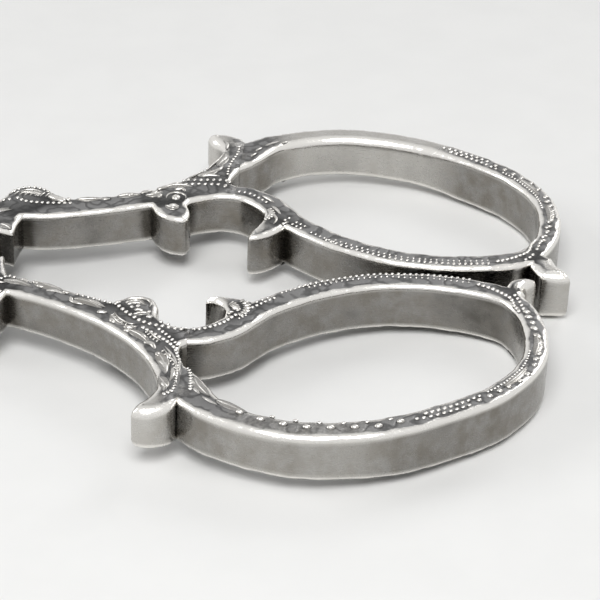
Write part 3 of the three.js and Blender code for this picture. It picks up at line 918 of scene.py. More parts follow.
def chase_near_stem(chaser):
    """Leaves, combs and bead rows from the near half's hinge to its solder seam."""
    row, stroke, comb = chaser.row, chaser.stroke, chaser.comb
    row([(20.8, 7.6), (21.4, 8.3), (22.0, 8.9), (22.6, 9.4), (23.4, 9.8), (24.4, 10.0),
         (25.3, 10.2), (26.2, 10.25)], 0.5, 0.19)
    row([(22.9, 10.3), (24.0, 11.2), (25.0, 12.1), (25.6, 13.0), (26.05, 13.9), (26.2, 14.6)],
        0.42, 0.15, reach=1.35)
    row([(24.1, 10.4), (24.9, 11.3), (25.7, 12.4)], 0.44, 0.15)
    row([(17.5, 6.25), (18.6, 6.6), (19.6, 6.95), (20.5, 7.3)], 0.45, 0.14)
    row([(11.5, 4.6), (11.9, 4.2), (12.5, 4.15)], 0.4, 0.15)
    row([(7.2, 3.9), (8.4, 3.75), (9.6, 3.9), (10.8, 4.2)], 0.45, 0.14)
    row([(24.2, 9.3), (24.7, 9.65)], 0.5, 0.17)
    comb([(20.5, 8.3), (21.0, 9.2), (21.8, 9.85), (22.4, 9.85)], 6, 0.42)
    comb([(23.2, 10.4), (23.8, 11.3), (24.5, 12.0)], 5, 0.4)
    comb([(24.6, 12.7), (25.2, 13.8), (25.9, 15.0), (26.1, 16.6)], 8, 0.32)
    for path, width in (
            ([(14.0, 4.5), (15.2, 5.2), (16.5, 6.0)], 0.8),
            ([(11.6, 4.8), (13.0, 5.0), (14.1, 5.6)], 0.75),
            ([(17.2, 6.8), (18.6, 7.3), (19.7, 8.1)], 0.8),
            ([(7.8, 4.2), (9.2, 4.8), (10.8, 5.3)], 0.85),
            ([(21.1, 7.1), (22.0, 6.7), (22.8, 7.3)], 0.7),
            ([(21.8, 10.6), (22.9, 11.4), (23.6, 12.4)], 0.85),
            ([(24.2, 13.2), (24.9, 14.6), (25.2, 16.2)], 0.95),
            ([(20.3, 8.7), (20.9, 9.6), (21.6, 10.2)], 0.7),
            ([(24.7, 16.4), (25.3, 17.4), (25.3, 18.3)], 0.8),
            ([(21.9, 8.6), (22.8, 8.3), (23.3, 8.7)], 0.6)):
        chaser.leaf(path, width)
    chaser.strokes([
        [(14.6, 4.8), (15.4, 5.15), (16.3, 5.6)], [(12.5, 5.3), (13.5, 5.4), (14.5, 5.8)],
        [(13.0, 4.3), (13.6, 4.9)], [(15.0, 5.9), (15.8, 5.95), (16.7, 6.3)],
        [(17.0, 6.6), (17.3, 7.3)], [(16.9, 7.0), (17.5, 7.4), (18.3, 7.6)],
        [(18.2, 6.8), (19.1, 7.3), (19.9, 7.9)], [(12.3, 4.7), (13.0, 5.0)],
        [(13.9, 4.7), (14.4, 5.1)], [(16.3, 5.9), (16.9, 6.2)], [(14.2, 5.3), (15.0, 5.55)],
        [(10.2, 4.9), (11.2, 5.1), (12.0, 5.1)], [(8.6, 4.6), (9.6, 4.7), (10.4, 5.2)],
        [(7.0, 4.6), (7.8, 4.9), (8.8, 5.3)], [(9.2, 5.6), (10.2, 5.8)]], 0.32, 0.12, 0.25)
    chaser.strokes([
        [(19.2, 8.6), (19.6, 8.5), (20.1, 8.6)], [(21.4, 10.35), (22.0, 10.35), (22.5, 10.2)],
        [(21.5, 10.75), (22.1, 10.9)], [(23.1, 12.2), (23.8, 12.4), (24.15, 13.1)],
        [(24.4, 14.4), (24.8, 14.7), (25.15, 15.2), (25.25, 16.1)],
        [(24.95, 17.15), (25.3, 17.5), (25.6, 17.9)], [(25.0, 13.4), (25.35, 14.2)],
        [(24.3, 13.4), (24.45, 14.0)], [(22.9, 11.2), (23.3, 11.8)],
        [(25.6, 15.2), (25.75, 16.2), (25.6, 17.0)], [(20.3, 9.3), (20.8, 9.9)]], 0.42, 0.15, 0.2)
    chaser.strokes([
        [(20.9, 6.9), (21.4, 6.45), (22.2, 6.3), (22.8, 6.5), (23.1, 7.0), (23.0, 7.6)],
        [(21.3, 7.35), (21.8, 7.0), (22.5, 7.0)], [(21.9, 8.0), (22.3, 7.9), (22.7, 8.05)],
        [(22.9, 8.8), (23.5, 8.8)], [(22.0, 7.45), (22.4, 7.4)], [(20.4, 7.1), (20.9, 7.0)],
        [(22.9, 8.2), (23.3, 8.1)], [(21.6, 7.7), (21.9, 7.5)]], 0.3, 0.13, 0.15)
    stroke([(24.7, 12.5), (25.4, 13.6), (25.8, 14.6), (25.95, 15.4)], 0.2, 0.11)
    row([(25.95, 15.0), (26.05, 15.8), (26.1, 16.6), (26.1, 17.4), (25.9, 18.1), (25.4, 18.6)], 0.33,
        0.13, reach=1.7, across=True)
    row(chaser.flank((8.1, 6.4), (12.0, 7.2), 0.4), 0.45, 0.16)
    chaser.fan(np.array([9.9, 5.5]), 0.7, 2.3, 25, 155, 9, 0.3)
    chaser.leaves([
        [(6.6, 2.0), (8.0, 2.5), (9.6, 2.7)], [(6.5, 3.1), (7.8, 3.8), (9.3, 4.0)],
        [(10.0, 2.9), (10.6, 2.5), (10.9, 2.0)]], 0.8)
    stroke([(25.4, 12.9), (26.0, 14.3), (26.2, 16.0)], 0.14, 0.09)


def chase_far_stem(chaser):
    """The far half's leaf lobe by the hinge, its spiral boss and its rows at the fork."""
    row, stroke, comb = chaser.row, chaser.stroke, chaser.comb
    row(chaser.flank((9.0, 9.6), (13.2, 9.3), 0.35), 0.45, 0.16)
    comb(chaser.flank((9.2, 9.6), (13.0, 9.2), 0.8), 11, -0.7)
    chaser.leaves([
        [(6.4, 1.6), (8.0, 2.3), (9.6, 3.2)], [(6.3, 2.6), (7.8, 3.6), (9.3, 4.3)],
        [(6.4, 3.6), (7.5, 4.7), (8.8, 5.6)], [(9.9, 3.5), (10.6, 3.1), (11.0, 2.6)]], 0.85)
    hatches, hatch_step, hatch_slant = 9, 0.42, 0.35
    for i in range(hatches):
        x = 9.8 + hatch_step * i
        stroke([(x, 8.1), (x + hatch_slant, 8.9)], 0.17, 0.09)
    row([(10.6, 7.7), (11.4, 7.25), (13.0, 7.15), (14.9, 7.3)], 0.45, 0.15, reach=1.2, across=True)
    chaser.bead((14.0, 8.5), 0.34)
    chaser.bead((14.65, 7.95), 0.24)
    row([(7.2, 5.0), (7.8, 5.9), (8.8, 6.8), (10.0, 7.4)], 0.45, 0.15)
    chaser.strokes([
        [(7.6, 4.6), (8.5, 5.4), (9.6, 6.2)], [(8.4, 4.7), (9.3, 5.3), (10.6, 5.9)],
        [(15.8, 8.0), (16.6, 8.1)], [(17.2, 8.2), (18.0, 8.35)]], 0.32, 0.1, 0.25)
    chaser.strokes([
        [(18.7, 9.1), (19.1, 9.5), (19.7, 9.6)], [(19.2, 9.0), (19.7, 9.2)],
        [(20.2, 9.4), (20.7, 9.9), (21.2, 10.0)], [(21.0, 9.1), (21.4, 9.7), (21.5, 10.3)],
        [(21.7, 8.9), (22.0, 9.6)], [(21.2, 10.6), (21.9, 10.9), (22.6, 11.0)],
        [(22.2, 11.5), (22.9, 11.9)], [(22.8, 10.4), (23.5, 10.6), (23.8, 10.1)],
        [(22.6, 7.6), (23.1, 7.9), (23.6, 7.6)]], 0.36, 0.13, 0.2)
    for path, width in (
            ([(18.4, 8.8), (19.4, 9.1), (20.4, 9.3)], 0.8),
            ([(20.6, 9.2), (21.4, 9.4), (22.0, 10.1)], 0.8),
            ([(15.2, 7.9), (16.4, 8.1), (17.6, 8.4)], 0.7),
            ([(24.4, 12.8), (25.4, 13.4), (26.2, 14.4)], 0.9),
            ([(25.9, 14.6), (26.4, 16.0), (26.4, 17.4)], 0.9),
            ([(24.6, 14.6), (24.9, 16.0), (25.2, 17.4)], 0.7),
            ([(7.4, 4.3), (8.8, 5.2), (10.4, 6.1)], 0.9),
            ([(22.0, 10.8), (23.2, 11.2), (24.4, 11.0)], 0.8),
            ([(22.4, 7.8), (23.1, 7.4), (23.6, 7.8)], 0.7)):
        chaser.leaf(path, width)
    chaser.bead((23.15, 9.1), 0.42)
    chaser.arc((23.15, 9.1), 0.8, -10, 200, 0.2)
    scroll_turn = 130
    for centre, start in (((21.5, 9.5), 60), ((21.9, 10.4), 80), ((22.6, 10.9), 60)):
        chaser.arc(centre, 0.4, start, start + scroll_turn, 0.16)
    row([(23.3, 12.1), (24.4, 12.15), (25.6, 12.3), (26.8, 12.35), (27.4, 12.2)],
        0.5, 0.14, reach=1.6, across=True)
    row([(23.2, 11.2), (24.3, 11.45), (25.4, 11.55), (26.3, 11.6)], 0.5, 0.15, reach=1.2)
    stroke([(26.85, 11.1), (26.95, 11.7)], 0.36, 0.15)
    comb([(22.9, 12.6), (23.9, 13.2), (24.7, 14.0)], 6, 0.4)
    comb([(25.0, 13.6), (25.5, 14.8), (25.8, 16.2), (25.9, 17.6)], 9, 0.36)
    row([(26.9, 13.4), (26.9, 14.6), (27.1, 15.8), (27.4, 17.0), (27.45, 18.2)], 0.45, 0.14)
    chaser.strokes([
        [(24.6, 12.9), (25.5, 13.1), (26.4, 13.0)], [(25.6, 13.6), (26.2, 14.2), (26.4, 15.0)],
        [(26.1, 15.2), (26.5, 16.2), (26.5, 17.0)], [(24.9, 16.6), (25.2, 17.6)],
        [(26.4, 17.6), (26.4, 18.6), (26.0, 19.2)], [(25.0, 15.0), (25.0, 15.9)]], 0.36, 0.13, 0.2)


def chase_stem(chaser):
    if chaser.half == "near":
        chase_near_stem(chaser)
    else:
        chase_far_stem(chaser)


def chase_ring(chaser):
    """Bead rows round the ring, a fan of ribs on its hook and leaves on its outer end."""
    far = chaser.half == "far"
    shift = RING_SHIFT if far else 0.0
    deeper = 0.26 if far else 0.0

    def row(points, *sizes, **more):
        chaser.row(moved(points, shift), *sizes, **more)

    def strokes(paths, *sizes):
        chaser.strokes([moved(path, shift) for path in paths], *sizes)

    def flank_row(start, end, inset, *sizes, **more):
        start, end = moved([start, end], shift)
        chaser.row(chaser.flank(start, end, inset + deeper), *sizes, **more)

    if not far:
        row([(26.6, 10.2), (27.25, 10.0), (27.75, 9.75), (28.4, 9.25), (28.75, 8.9), (29.1, 8.4),
             (29.45, 7.95)], 0.4, 0.18)
        row([(30.6, 6.75), (31.0, 6.35), (31.35, 6.0), (31.7, 5.65), (32.1, 5.3)], 0.44, 0.15)
        row([(30.85, 5.95), (31.2, 5.65), (31.6, 5.3)], 0.42, 0.13)
        row([(29.75, 8.35), (30.2, 7.9)], 0.4, 0.1)
        chaser.fan(np.array([28.85, 6.85]), 1.0, 1.72, -46, 46, 7, 0.32)
        chaser.fan(np.array([28.3, 7.3]), 0.75, 1.55, -54, -12, 5, 0.17)
        strokes([[(28.8, 8.0), (29.05, 7.6), (29.35, 7.5)]], 0.34, 0.14, 0.3)
        strokes([[(29.4, 7.35), (29.8, 7.05)]], 0.32, 0.13, 0.0)
        row([(26.8, 15.2), (27.0, 16.1), (27.1, 17.0), (27.15, 17.8)], 0.34, 0.12, reach=1.6,
            across=True)
    else:
        strokes([
            [(28.9, 8.1), (29.5, 7.3), (29.9, 6.5), (29.7, 5.6)],
            [(28.4, 10.2), (29.1, 9.6), (29.6, 9.0)],
            [(29.3, 8.6), (29.8, 8.0), (30.2, 7.2)]], 0.3, 0.13, 0.2)
        row([(26.6, 10.6), (27.4, 10.4), (28.2, 9.8), (28.9, 9.1)], 0.45, 0.14)
        chaser.fan(np.array([30.0, 7.3]), 0.6, 1.3, -60, 40, 7, 0.24)
        row([(30.6, 6.4), (31.2, 5.8), (31.9, 5.25)], 0.42, 0.14)
        row([(30.9, 6.75), (31.5, 6.15), (32.2, 5.6)], 0.42, 0.12)
    flank_row((32.6, 4.2), (34.2, 3.0), 0.4, 0.4, 0.11)
    flank_row((34.0, 3.2), (41.0, 0.7), 0.26, 0.45, 0.14, reach=1.3, across=True)
    flank_row((34.5, 3.0), (41.0, 0.7), 0.66, 0.45, 0.11)
    flank_row((41.4, 0.6), (46.6, 1.2), 0.32, 0.45, 0.14, reach=1.5, across=True)
    flank_row((41.4, 0.6), (46.6, 1.2), 0.78, 0.45, 0.1)
    row([(47.3, 1.8), (48.2, 2.25), (48.95, 2.8), (49.65, 3.5), (49.9, 4.4), (49.95, 5.4)], 0.42,
        0.17, reach=1.3)
    row([(49.45, 2.3), (49.85, 2.75), (50.15, 3.4), (50.4, 4.1), (50.6, 4.9)], 0.5, 0.15, reach=1.2)
    strokes([
        [(50.5, 5.2), (51.2, 5.4)], [(50.6, 5.9), (51.35, 6.1)], [(51.0, 6.6), (51.5, 6.9)],
        [(51.0, 7.3), (51.7, 7.7)], [(51.2, 8.2), (51.9, 8.8)], [(51.45, 9.3), (52.0, 9.6)],
        [(51.5, 9.9), (52.0, 10.2)], [(51.35, 10.9), (51.9, 10.9)], [(51.1, 11.6), (51.7, 11.6)],
        [(51.0, 12.4), (51.55, 12.3)], [(50.5, 13.4), (51.0, 13.8)], [(50.0, 14.4), (50.4, 14.7)],
        [(49.2, 15.2), (49.6, 15.4)], [(48.5, 15.8), (49.0, 16.0)], [(47.8, 16.5), (48.3, 16.7)],
        [(47.1, 17.1), (47.5, 17.3)]], 0.42, 0.14, 0.2)
    row([(50.95, 10.6), (50.75, 11.6), (50.4, 12.7), (49.9, 13.6), (49.4, 14.4), (48.7, 15.3),
         (47.9, 16.1)], 0.34, 0.12)
    row([(47.3, 16.7), (46.3, 17.5), (45.0, 18.4), (43.6, 19.2)], 0.5, 0.14, reach=1.2, grow=0.4)
    row([(46.6, 17.9), (45.4, 18.7), (44.0, 19.5), (43.0, 19.9)], 0.55, 0.15, reach=1.3)
    leaves = [[(49.0, 15.4), (50.0, 14.0), (50.8, 12.4)], [(51.3, 11.2), (51.6, 9.6), (51.4, 7.9)]]
    if not far:
        row([(41.9, 20.3), (40.4, 21.0), (38.8, 21.3), (37.2, 21.5), (35.4, 21.6), (33.9, 21.4),
             (32.3, 21.0), (30.8, 20.3)], 1.62, 0.24, reach=1.5)
        row([(41.2, 20.1), (39.6, 20.6), (38.0, 20.9), (36.3, 21.0), (34.6, 20.9), (33.1, 20.6)],
            1.62, 0.12, reach=1.8)
        leaves += [
            [(27.2, 16.2), (27.7, 17.4), (28.6, 18.6)], [(29.0, 18.9), (30.2, 19.7), (31.4, 20.3)]]
    chaser.leaves([moved(path, shift) for path in leaves], 0.75)
    strokes([
        [(28.0, 18.6), (28.7, 19.2), (29.3, 19.6)], [(27.3, 17.6), (27.9, 18.4)],
        [(27.0, 16.6), (27.5, 17.4)], [(29.4, 19.2), (29.9, 19.6)]], 0.26, 0.09, 0.2)


def chase_arm(chaser):
    """A bead row and a leafy vine, in the manner of the stems."""
    chaser.row(chaser.flank((-13.2, 6.8), (-45.8, 3.4), 0.5), 0.5, 0.14)
    chaser.row(chaser.flank((-8.2, 4.9), (-12.8, 7.0), 0.42), 0.45, 0.16)
    chaser.fan(np.array([-10.0, 4.2]), 0.7, 2.4, 20, 150, 9, 0.3)
    chaser.leaves([
        [(-6.4, 2.3), (-7.7, 2.8), (-9.0, 3.3)], [(-9.9, 2.9), (-10.4, 2.3), (-10.6, 1.8)],
        [(-12.0, 4.6), (-13.4, 5.4), (-14.9, 6.0)]], 0.8)
    line = smooth_path(chaser.flank((-14.0, 9.0), (-44.0, 5.0), 1.15), VINE_POINTS)
    ways = np.gradient(line, axis=0)
    for i in range(VINE_STEP, VINE_POINTS - 2 * VINE_STEP, VINE_STEP):
        way = ways[i] / np.linalg.norm(ways[i])
        side = np.array([-way[1], way[0]]) * (1 if i % (2 * VINE_STEP) else -1)
        bend, tip = way * 0.2 + side * 0.08, way * 0.6 + side * 0.34
        chaser.stroke([line[i] - way * 0.25, line[i] + bend, line[i] + tip], 0.3, 0.12, 0.3)


def chase_rosette(chaser, hinge):
    """Petals with veins round the rivet's head, leaf points between them and a ring of beads."""
    def at(radius, bearing):
        return radius * math.cos(bearing), radius * math.sin(bearing)

    inner, outer = hinge.petal_start / MM, hinge.petal_end / MM
    middle = (inner + outer) / 2
    half_petal = math.pi / hinge.petals
    for i in range(hinge.petals):
        bearing = (2 * i + 1) * half_petal
        chaser.leaf([at(inner, bearing), at(middle, bearing), at(outer, bearing)], 1.5, 0.1)
        for turn in (-0.62, 0.62):
            bowed = at(middle, bearing + turn * half_petal)
            start, tip = at(inner, bearing + turn * half_petal), at(outer + 0.1, bearing)
            chaser.stroke([start, bowed, tip], 0.24, 0.13)
        for share in (0.25, 0.5, 0.75):
            root = at(inner + share * (outer - inner), bearing)
            for turn in (-0.3, 0.3):
                end = at(inner + (share + 0.14) * (outer - inner), bearing + turn * half_petal)
                chaser.stroke([root, end], 0.13, 0.1)
        between = bearing + half_petal
        chaser.leaf([at(middle + 0.1, between), at(outer, between)], 0.55, 0.2)
        chaser.bead(at(middle - 0.35, between), 0.2)
    ring = hinge.bead_ring / MM
    for i in range(hinge.beads):
        spot = at(ring, 2 * math.pi * i / hinge.beads)
        if chaser.edge_near(np.array([spot]))[2][0] > hinge.bead_room / MM:
            chaser.bead(spot, 0.21)


def turned(profile, segments):
    """A closed shape turned about the pivot from radii and heights in millimetres."""
    bm = bmesh.new()
    verts = [bm.verts.new(PIVOT + Vector((radius, 0.0, height)) * MM) for radius, height in profile]
    edges = [bm.edges.new(pair) for pair in zip(verts, verts[1:])]
    bmesh.ops.spin(bm, geom=verts + edges, cent=PIVOT, axis=(0.0, 0.0, 1.0),
                   angle=2 * math.pi, steps=segments, use_merge=True)
    bmesh.ops.remove_doubles(bm, verts=bm.verts, dist=SLIVER)
    bmesh.ops.recalc_face_normals(bm, faces=bm.faces)
    smooth_all(bm)
    return bm


# The rivet's head from its crown to its foot: share of its radius and of its height
HEAD_SHARES = [
    (0.0, 1.0), (0.12, 0.995), (0.25, 0.97), (0.38, 0.93), (0.5, 0.87), (0.62, 0.79), (0.74, 0.67),
    (0.84, 0.52), (0.92, 0.35), (0.97, 0.2), (1.0, 0.06), (0.99, -0.06), (0.93, -0.1),
]
RIVET_SIDES = 72


def make_rivet(hinge, material):
    """The peened rivet, its domed heads a little uneven from the hammer."""
    half_length = (rivet_high.z - rivet_low.z) / 2 / MM
    radius, height = (rivet_high.x - rivet_low.x) / 2 / MM, hinge.head_height / MM
    seat = half_length - height
    head = [(radius * out, seat + height * up) for out, up in HEAD_SHARES]
    shank = hinge.shank_radius / MM
    upper = [*head, (shank, head[-1][1])]
    bm = turned([*upper, *[(out, -up) for out, up in reversed(upper)]], RIVET_SIDES)
    rise, gleam, shade_and_tarnish = layers_of(bm)
    for vert in bm.verts:
        spot = (vert.co - PIVOT) / MM
        out = spot.xy.length / radius
        bearing = math.atan2(spot.y, spot.x)
        dent = math.sin(3 * bearing + 0.7) * math.sin(5 * out) + 0.6 * math.sin(5 * bearing + 4 * out)
        on_head = abs(spot.z) > seat + 0.1 * height
        if on_head:
            deep = hinge.peening * (0.5 + 0.5 * dent) * min(1.0, 3 * out)
            vert.co.z -= math.copysign(deep, spot.z)
        # The crown is painted bright, wear with painted highlight, and the head's foot painted dark,
        # painted shade with tarnish where it meets the disc
        vert[rise] = 0.2 if out > 0.98 else 1.0
        vert[gleam] = max(0.0, 0.75 - 0.55 * out + 0.15 * dent)
        vert[shade_and_tarnish] = 1.0 if out > 0.95 else 0.0
    finish_piece(bm, "rivet", material, "near", "pivot_rivet")


# Shell grips

# The neck from the arm's seam into the shell's back: millimetres along, out from the mouth's
# plane to its middle, half its thickness, half its height, and wear with painted highlight
NECK_ROWS = [
    (0.0, 2.45, 1.1, 1.3, 0.3), (0.3, 2.45, 1.08, 1.28, 0.2), (0.42, 2.45, 1.26, 1.46, 0.8),
    (0.55, 2.45, 1.32, 1.52, 1.0), (0.7, 2.45, 1.26, 1.46, 0.8), (0.82, 2.45, 1.02, 1.2, 0.0),
    (1.15, 2.48, 0.96, 1.12, 0.1), (1.3, 2.5, 1.1, 1.28, 0.7), (1.42, 2.5, 1.15, 1.32, 0.9),
    (1.55, 2.52, 1.08, 1.26, 0.6), (1.68, 2.55, 0.92, 1.08, 0.0), (2.0, 2.68, 0.86, 1.05, 0.2),
    (2.6, 2.9, 0.78, 0.95, 0.4), (3.4, 3.15, 0.55, 0.7, 0.4), (4.4, 3.4, 0.28, 0.4, 0.2),
]
NECK_SIDES = 28
SQUARENESS = 0.5  # below 1 the neck's section is squarer than an ellipse
NECK_LEAD = 1.0 * MM  # from the arm's seam to the point that the shell fans out from
MEETING = 0.15 * MM  # from the middle plane to a shut shell's mouth
BEAK_SHARE = 0.05  # where the shell starts, as a share of its length
SIDE_SHARE = 0.45  # the shell's length at its sides against its length in the middle
EDGE_POWER = 1.5  # how late its edge falls back towards the sides
CREST_POWER = 0.6  # below 1 its crest lies nearer the beak than the edge
FULL_POWER = 0.85  # below 1 its back is fuller than a sine
GROWTH_POWER = 1.3  # above 1 the growth lines crowd towards the edge
GROWTH_THIN = 6  # how thin a growth line is
RIB_STEPS = 12
BACK_STEPS = 44

# The mouth's rounded lip from the back's edge to the hollow's: share of its height, and inset
LIP_ROWS = [(0.6, 0.0), (0.25, 0.06), (0.06, 0.2), (0.0, 0.42)]
# how bright the lip is painted, wear with painted highlight
LIP_GLEAM = 0.6


def boundary_of(edges):
    return [edge for edge in edges if edge.is_boundary]


def square_off(value):
    return math.copysign(abs(value) ** SQUARENESS, value)


def shell_layer(bm, shells, half, inner):
    """The fluted back of one shell grip, or its hollow, on a fan-shaped grid."""
    rise, gleam, shade_and_tarnish = layers_of(bm)
    made = bmesh.ops.create_grid(
        bm, x_segments=shells.ribs * RIB_STEPS, y_segments=BACK_STEPS, size=1.0)["verts"]
    wall = shells.wall if inner else 0.0
    length = shells.length - 2 * wall
    bulge = shells.bulge + (shells.lip - wall if inner else 0.0)
    lip = 0.0 if inner else shells.lip
    for vert in made:
        across = vert.co.x
        out = BEAK_SHARE + (1.0 - BEAK_SHARE) * (vert.co.y + 1.0) / 2
        bearing = across * shells.fan
        wave = math.cos(math.pi * shells.ribs * across)
        rib = 1.0 - 2.0 * ((1.0 - wave) / 2) ** 2
        fall = (1.0 - SIDE_SHARE) * abs(across) ** EDGE_POWER
        rim = length * (1.0 - fall) + shells.rib_depth * wave
        crest = abs(math.sin(math.pi * out ** CREST_POWER)) ** FULL_POWER
        swell = crest * math.sqrt(max(0.0, 1.0 - across * across))
        lines_passed = shells.growth_lines * out ** GROWTH_POWER
        line = (0.5 + 0.5 * math.cos(2 * math.pi * lines_passed)) ** GROWTH_THIN
        line *= min(1.0, 4 * swell) * min(1.0, max(0.0, 4 * out - 1.0))
        proud = shells.rib_depth * rib * math.sqrt(swell) * out - shells.growth_depth * line
        over = lip + bulge * swell + proud
        x = PIVOT.x + ARM_END * MM - NECK_LEAD - wall - out * rim * math.cos(bearing)
        vert.co = (x, -SIDE[half] * (MEETING + over), PIVOT.z + out * rim * math.sin(bearing))
        # Rib crests are painted bright, wear with painted highlight; grooves, growth lines and the
        # hollow are painted dark, painted shade with tarnish
        vert[rise] = 0.85 if inner else min(1.0, 0.75 + 0.35 * rib - 0.7 * line)
        vert[gleam] = 0.0 if inner else max(0.0, 0.75 * rib * min(1.0, 2 * out) - 0.5 * line)
        vert[shade_and_tarnish] = 0.35 if inner else max(0.0, min(1.0, -0.7 * rib + 0.6 * line))
    held = set(made)
    edges = {edge for vert in made for edge in vert.link_edges}
    return [edge for edge in boundary_of(edges) if held.issuperset(edge.verts)]


def make_shell(half, shells, material):
    bm = bmesh.new()
    rise, gleam, shade_and_tarnish = layers_of(bm)
    back_edge = shell_layer(bm, shells, half, False)
    hollow_edge = shell_layer(bm, shells, half, True)
    middle = Vector((PIVOT.x + ARM_END * MM - NECK_LEAD - shells.length / 2, 0.0, PIVOT.z))
    for height, inset in LIP_ROWS:
        grown = bmesh.ops.extrude_edge_only(bm, edges=back_edge)
        back_edge = boundary_of(new_items(grown, bmesh.types.BMEdge))
        for vert in {vert for edge in back_edge for vert in edge.verts}:
            inward = (middle - vert.co) * Vector((1.0, 0.0, 1.0))
            vert.co += inward.normalized() * inset * shells.lip
            vert.co.y = -SIDE[half] * (MEETING + height * shells.lip)
            vert[gleam] = LIP_GLEAM
            vert[rise] = 1.0
            vert[shade_and_tarnish] = 0.0
    bmesh.ops.bridge_loops(bm, edges=back_edge + hollow_edge)
    make_neck(bm, half)
    bmesh.ops.recalc_face_normals(bm, faces=bm.faces)
    smooth_all(bm)
    finish_piece(bm, f"{half}_shell", material, half, f"{half}_shell_grip")


def make_neck(bm, half):
    """A collared neck that runs from the arm into the shell's back."""
    rise, gleam, shade_and_tarnish = layers_of(bm)
    verts = bmesh.ops.create_circle(bm, cap_ends=True, segments=NECK_SIDES, radius=1.0)["verts"]
    bearings = [math.atan2(vert.co.y, vert.co.x) for vert in verts]
    cap = verts[0].link_faces[0]
    edges = list(cap.edges)
    for step, (along, away, thick, tall, worn) in enumerate(NECK_ROWS):
        if step:
            twins = dict(zip(verts, bearings))
            grown = bmesh.ops.extrude_edge_only(bm, edges=edges)
            edges = boundary_of(new_items(grown, bmesh.types.BMEdge))
            verts = list({vert for edge in edges for vert in edge.verts})
            bearings = []
            for vert in verts:
                twin = next(edge.other_vert(vert) for edge in vert.link_edges
                            if edge.other_vert(vert) in twins)
                bearings.append(twins[twin])
        for vert, bearing in zip(verts, bearings):
            vert.co.x = PIVOT.x + (ARM_END - along) * MM
            vert.co.y = -SIDE[half] * (away + thick * square_off(math.cos(bearing))) * MM
            vert.co.z = PIVOT.z + tall * square_off(math.sin(bearing)) * MM
            vert[rise] = 1.0
            # Collars are painted bright, wear with painted highlight, and the grooves between them
            # painted dark, painted shade with tarnish
            vert[gleam] = worn
            vert[shade_and_tarnish] = max(0.0, 0.8 - 4.0 * worn)
    bmesh.ops.contextual_create(bm, geom=edges)


# Sizes and colours that a user would change

def distance(name, description, millimetres):
    return FloatProperty(name=name, description=description, unit="LENGTH", subtype="DISTANCE",
                         default=millimetres * MM, precision=6)


def fraction(name, description, default, most=1.0):
    return FloatProperty(name=name, description=description, default=default, min=0.0, max=most)


def color(name, description, default):
    return FloatVectorProperty(
        name=name, description=description, subtype="COLOR", size=3, default=default)


class NipsStraps(bpy.types.PropertyGroup):
    edge_width: distance("Edge width", "Rounded edge of a strap, across", 0.4)
    edge_drop: distance("Edge drop", "Rounded edge of a strap, down the wall", 0.36)
    ground_depth: distance("Ground depth", "How deep the chased ground is sunk", 0.05)
    grain: distance("Outline step", "Longest step between two points of an edge", 0.26)
    # How far the painted shade and tarnish spread from an inner corner
    corner_reach: distance("Corner reach", "How far tarnish spreads from an inner corner", 1.25)
    waver: fraction("Waver", "How unevenly the edges are filed, as a share of their width", 0.2, 0.5)


class NipsHinge(bpy.types.PropertyGroup):
    edge_width: distance("Edge width", "Rounded edge of a hinge disc, across", 0.3)
    edge_drop: distance("Edge drop", "Rounded edge of a hinge disc, down the wall", 0.26)
    ground_depth: distance("Ground depth", "How deep the rosette's ground is sunk", 0.05)
    grain: distance("Outline step", "Longest step between two points of an edge", 0.3)
    # How far the painted shade and tarnish spread from an inner corner
    corner_reach: distance("Corner reach", "How far tarnish spreads from an inner corner", 0.6)
    waver: fraction("Waver", "How unevenly the edges are filed, as a share of their width", 0.06, 0.5)
    petals: IntProperty(name="Petals", description="Petals of the rosette", default=8, min=3)
    petal_start: distance("Petal root", "Radius where a petal starts, at the rivet's head", 2.55)
    petal_end: distance("Petal tip", "Radius where a petal ends", 5.6)
    bead_ring: distance("Bead ring", "Radius of the ring of beads", 6.3)
    beads: IntProperty(name="Beads", description="Beads in the ring", default=72, min=8)
    bead_room: distance("Bead room", "Least way from a bead's middle to the disc's outline", 0.42)
    head_height: distance("Rivet head", "Height of the rivet's domed head", 0.45)
    shank_radius: distance("Rivet shank", "Radius of the rivet in its bore", 1.4)
    peening: distance("Peening", "Depth of the hammer's dents on the rivet", 0.035)


class NipsShells(bpy.types.PropertyGroup):
    length: distance("Length", "Shell grip from beak to edge", 14.5)
    bulge: distance("Bulge", "Height of the shell's back over its edge", 3.6)
    wall: distance("Wall", "Wall thickness of the shell", 0.9)
    lip: distance("Lip", "Height of the shell's edge", 0.35)
    fan: FloatProperty(
        name="Fan", description="Half the angle that the shell spreads", unit="ROTATION",
        subtype="ANGLE", default=math.radians(52))
    ribs: IntProperty(name="Ribs", description="Ribs across the shell", default=9, min=3)
    rib_depth: distance("Rib depth", "How far the ribs stand out", 0.22)
    growth_lines: IntProperty(
        name="Growth lines", description="Growth lines between beak and edge", default=15, min=0)
    growth_depth: distance("Growth line depth", "Depth of a growth line", 0.06)


class NipsFinish(bpy.types.PropertyGroup):
    silver_color: color("Silver", "Walls, away from wear", (0.30, 0.293, 0.28))
    tarnish_tint: color(
        "Tarnish tint", "What thin tarnish leaves of the silver's colour", (0.70, 0.665, 0.61))
    ground_color: color(
        "Ground", "Oxidised silver between the beads and leaves", (0.115, 0.114, 0.113))
    # How much brighter worn edges are painted, wear with painted highlight
    edge_gain: FloatProperty(
        name="Edge brightness", description="Worn edges against the walls", default=2.95, min=1.0)
    wall_roughness: fraction("Wall roughness", "Roughness of the polished walls", 0.2)
    ground_roughness: fraction("Ground roughness", "Roughness of the oxidised ground", 0.5)


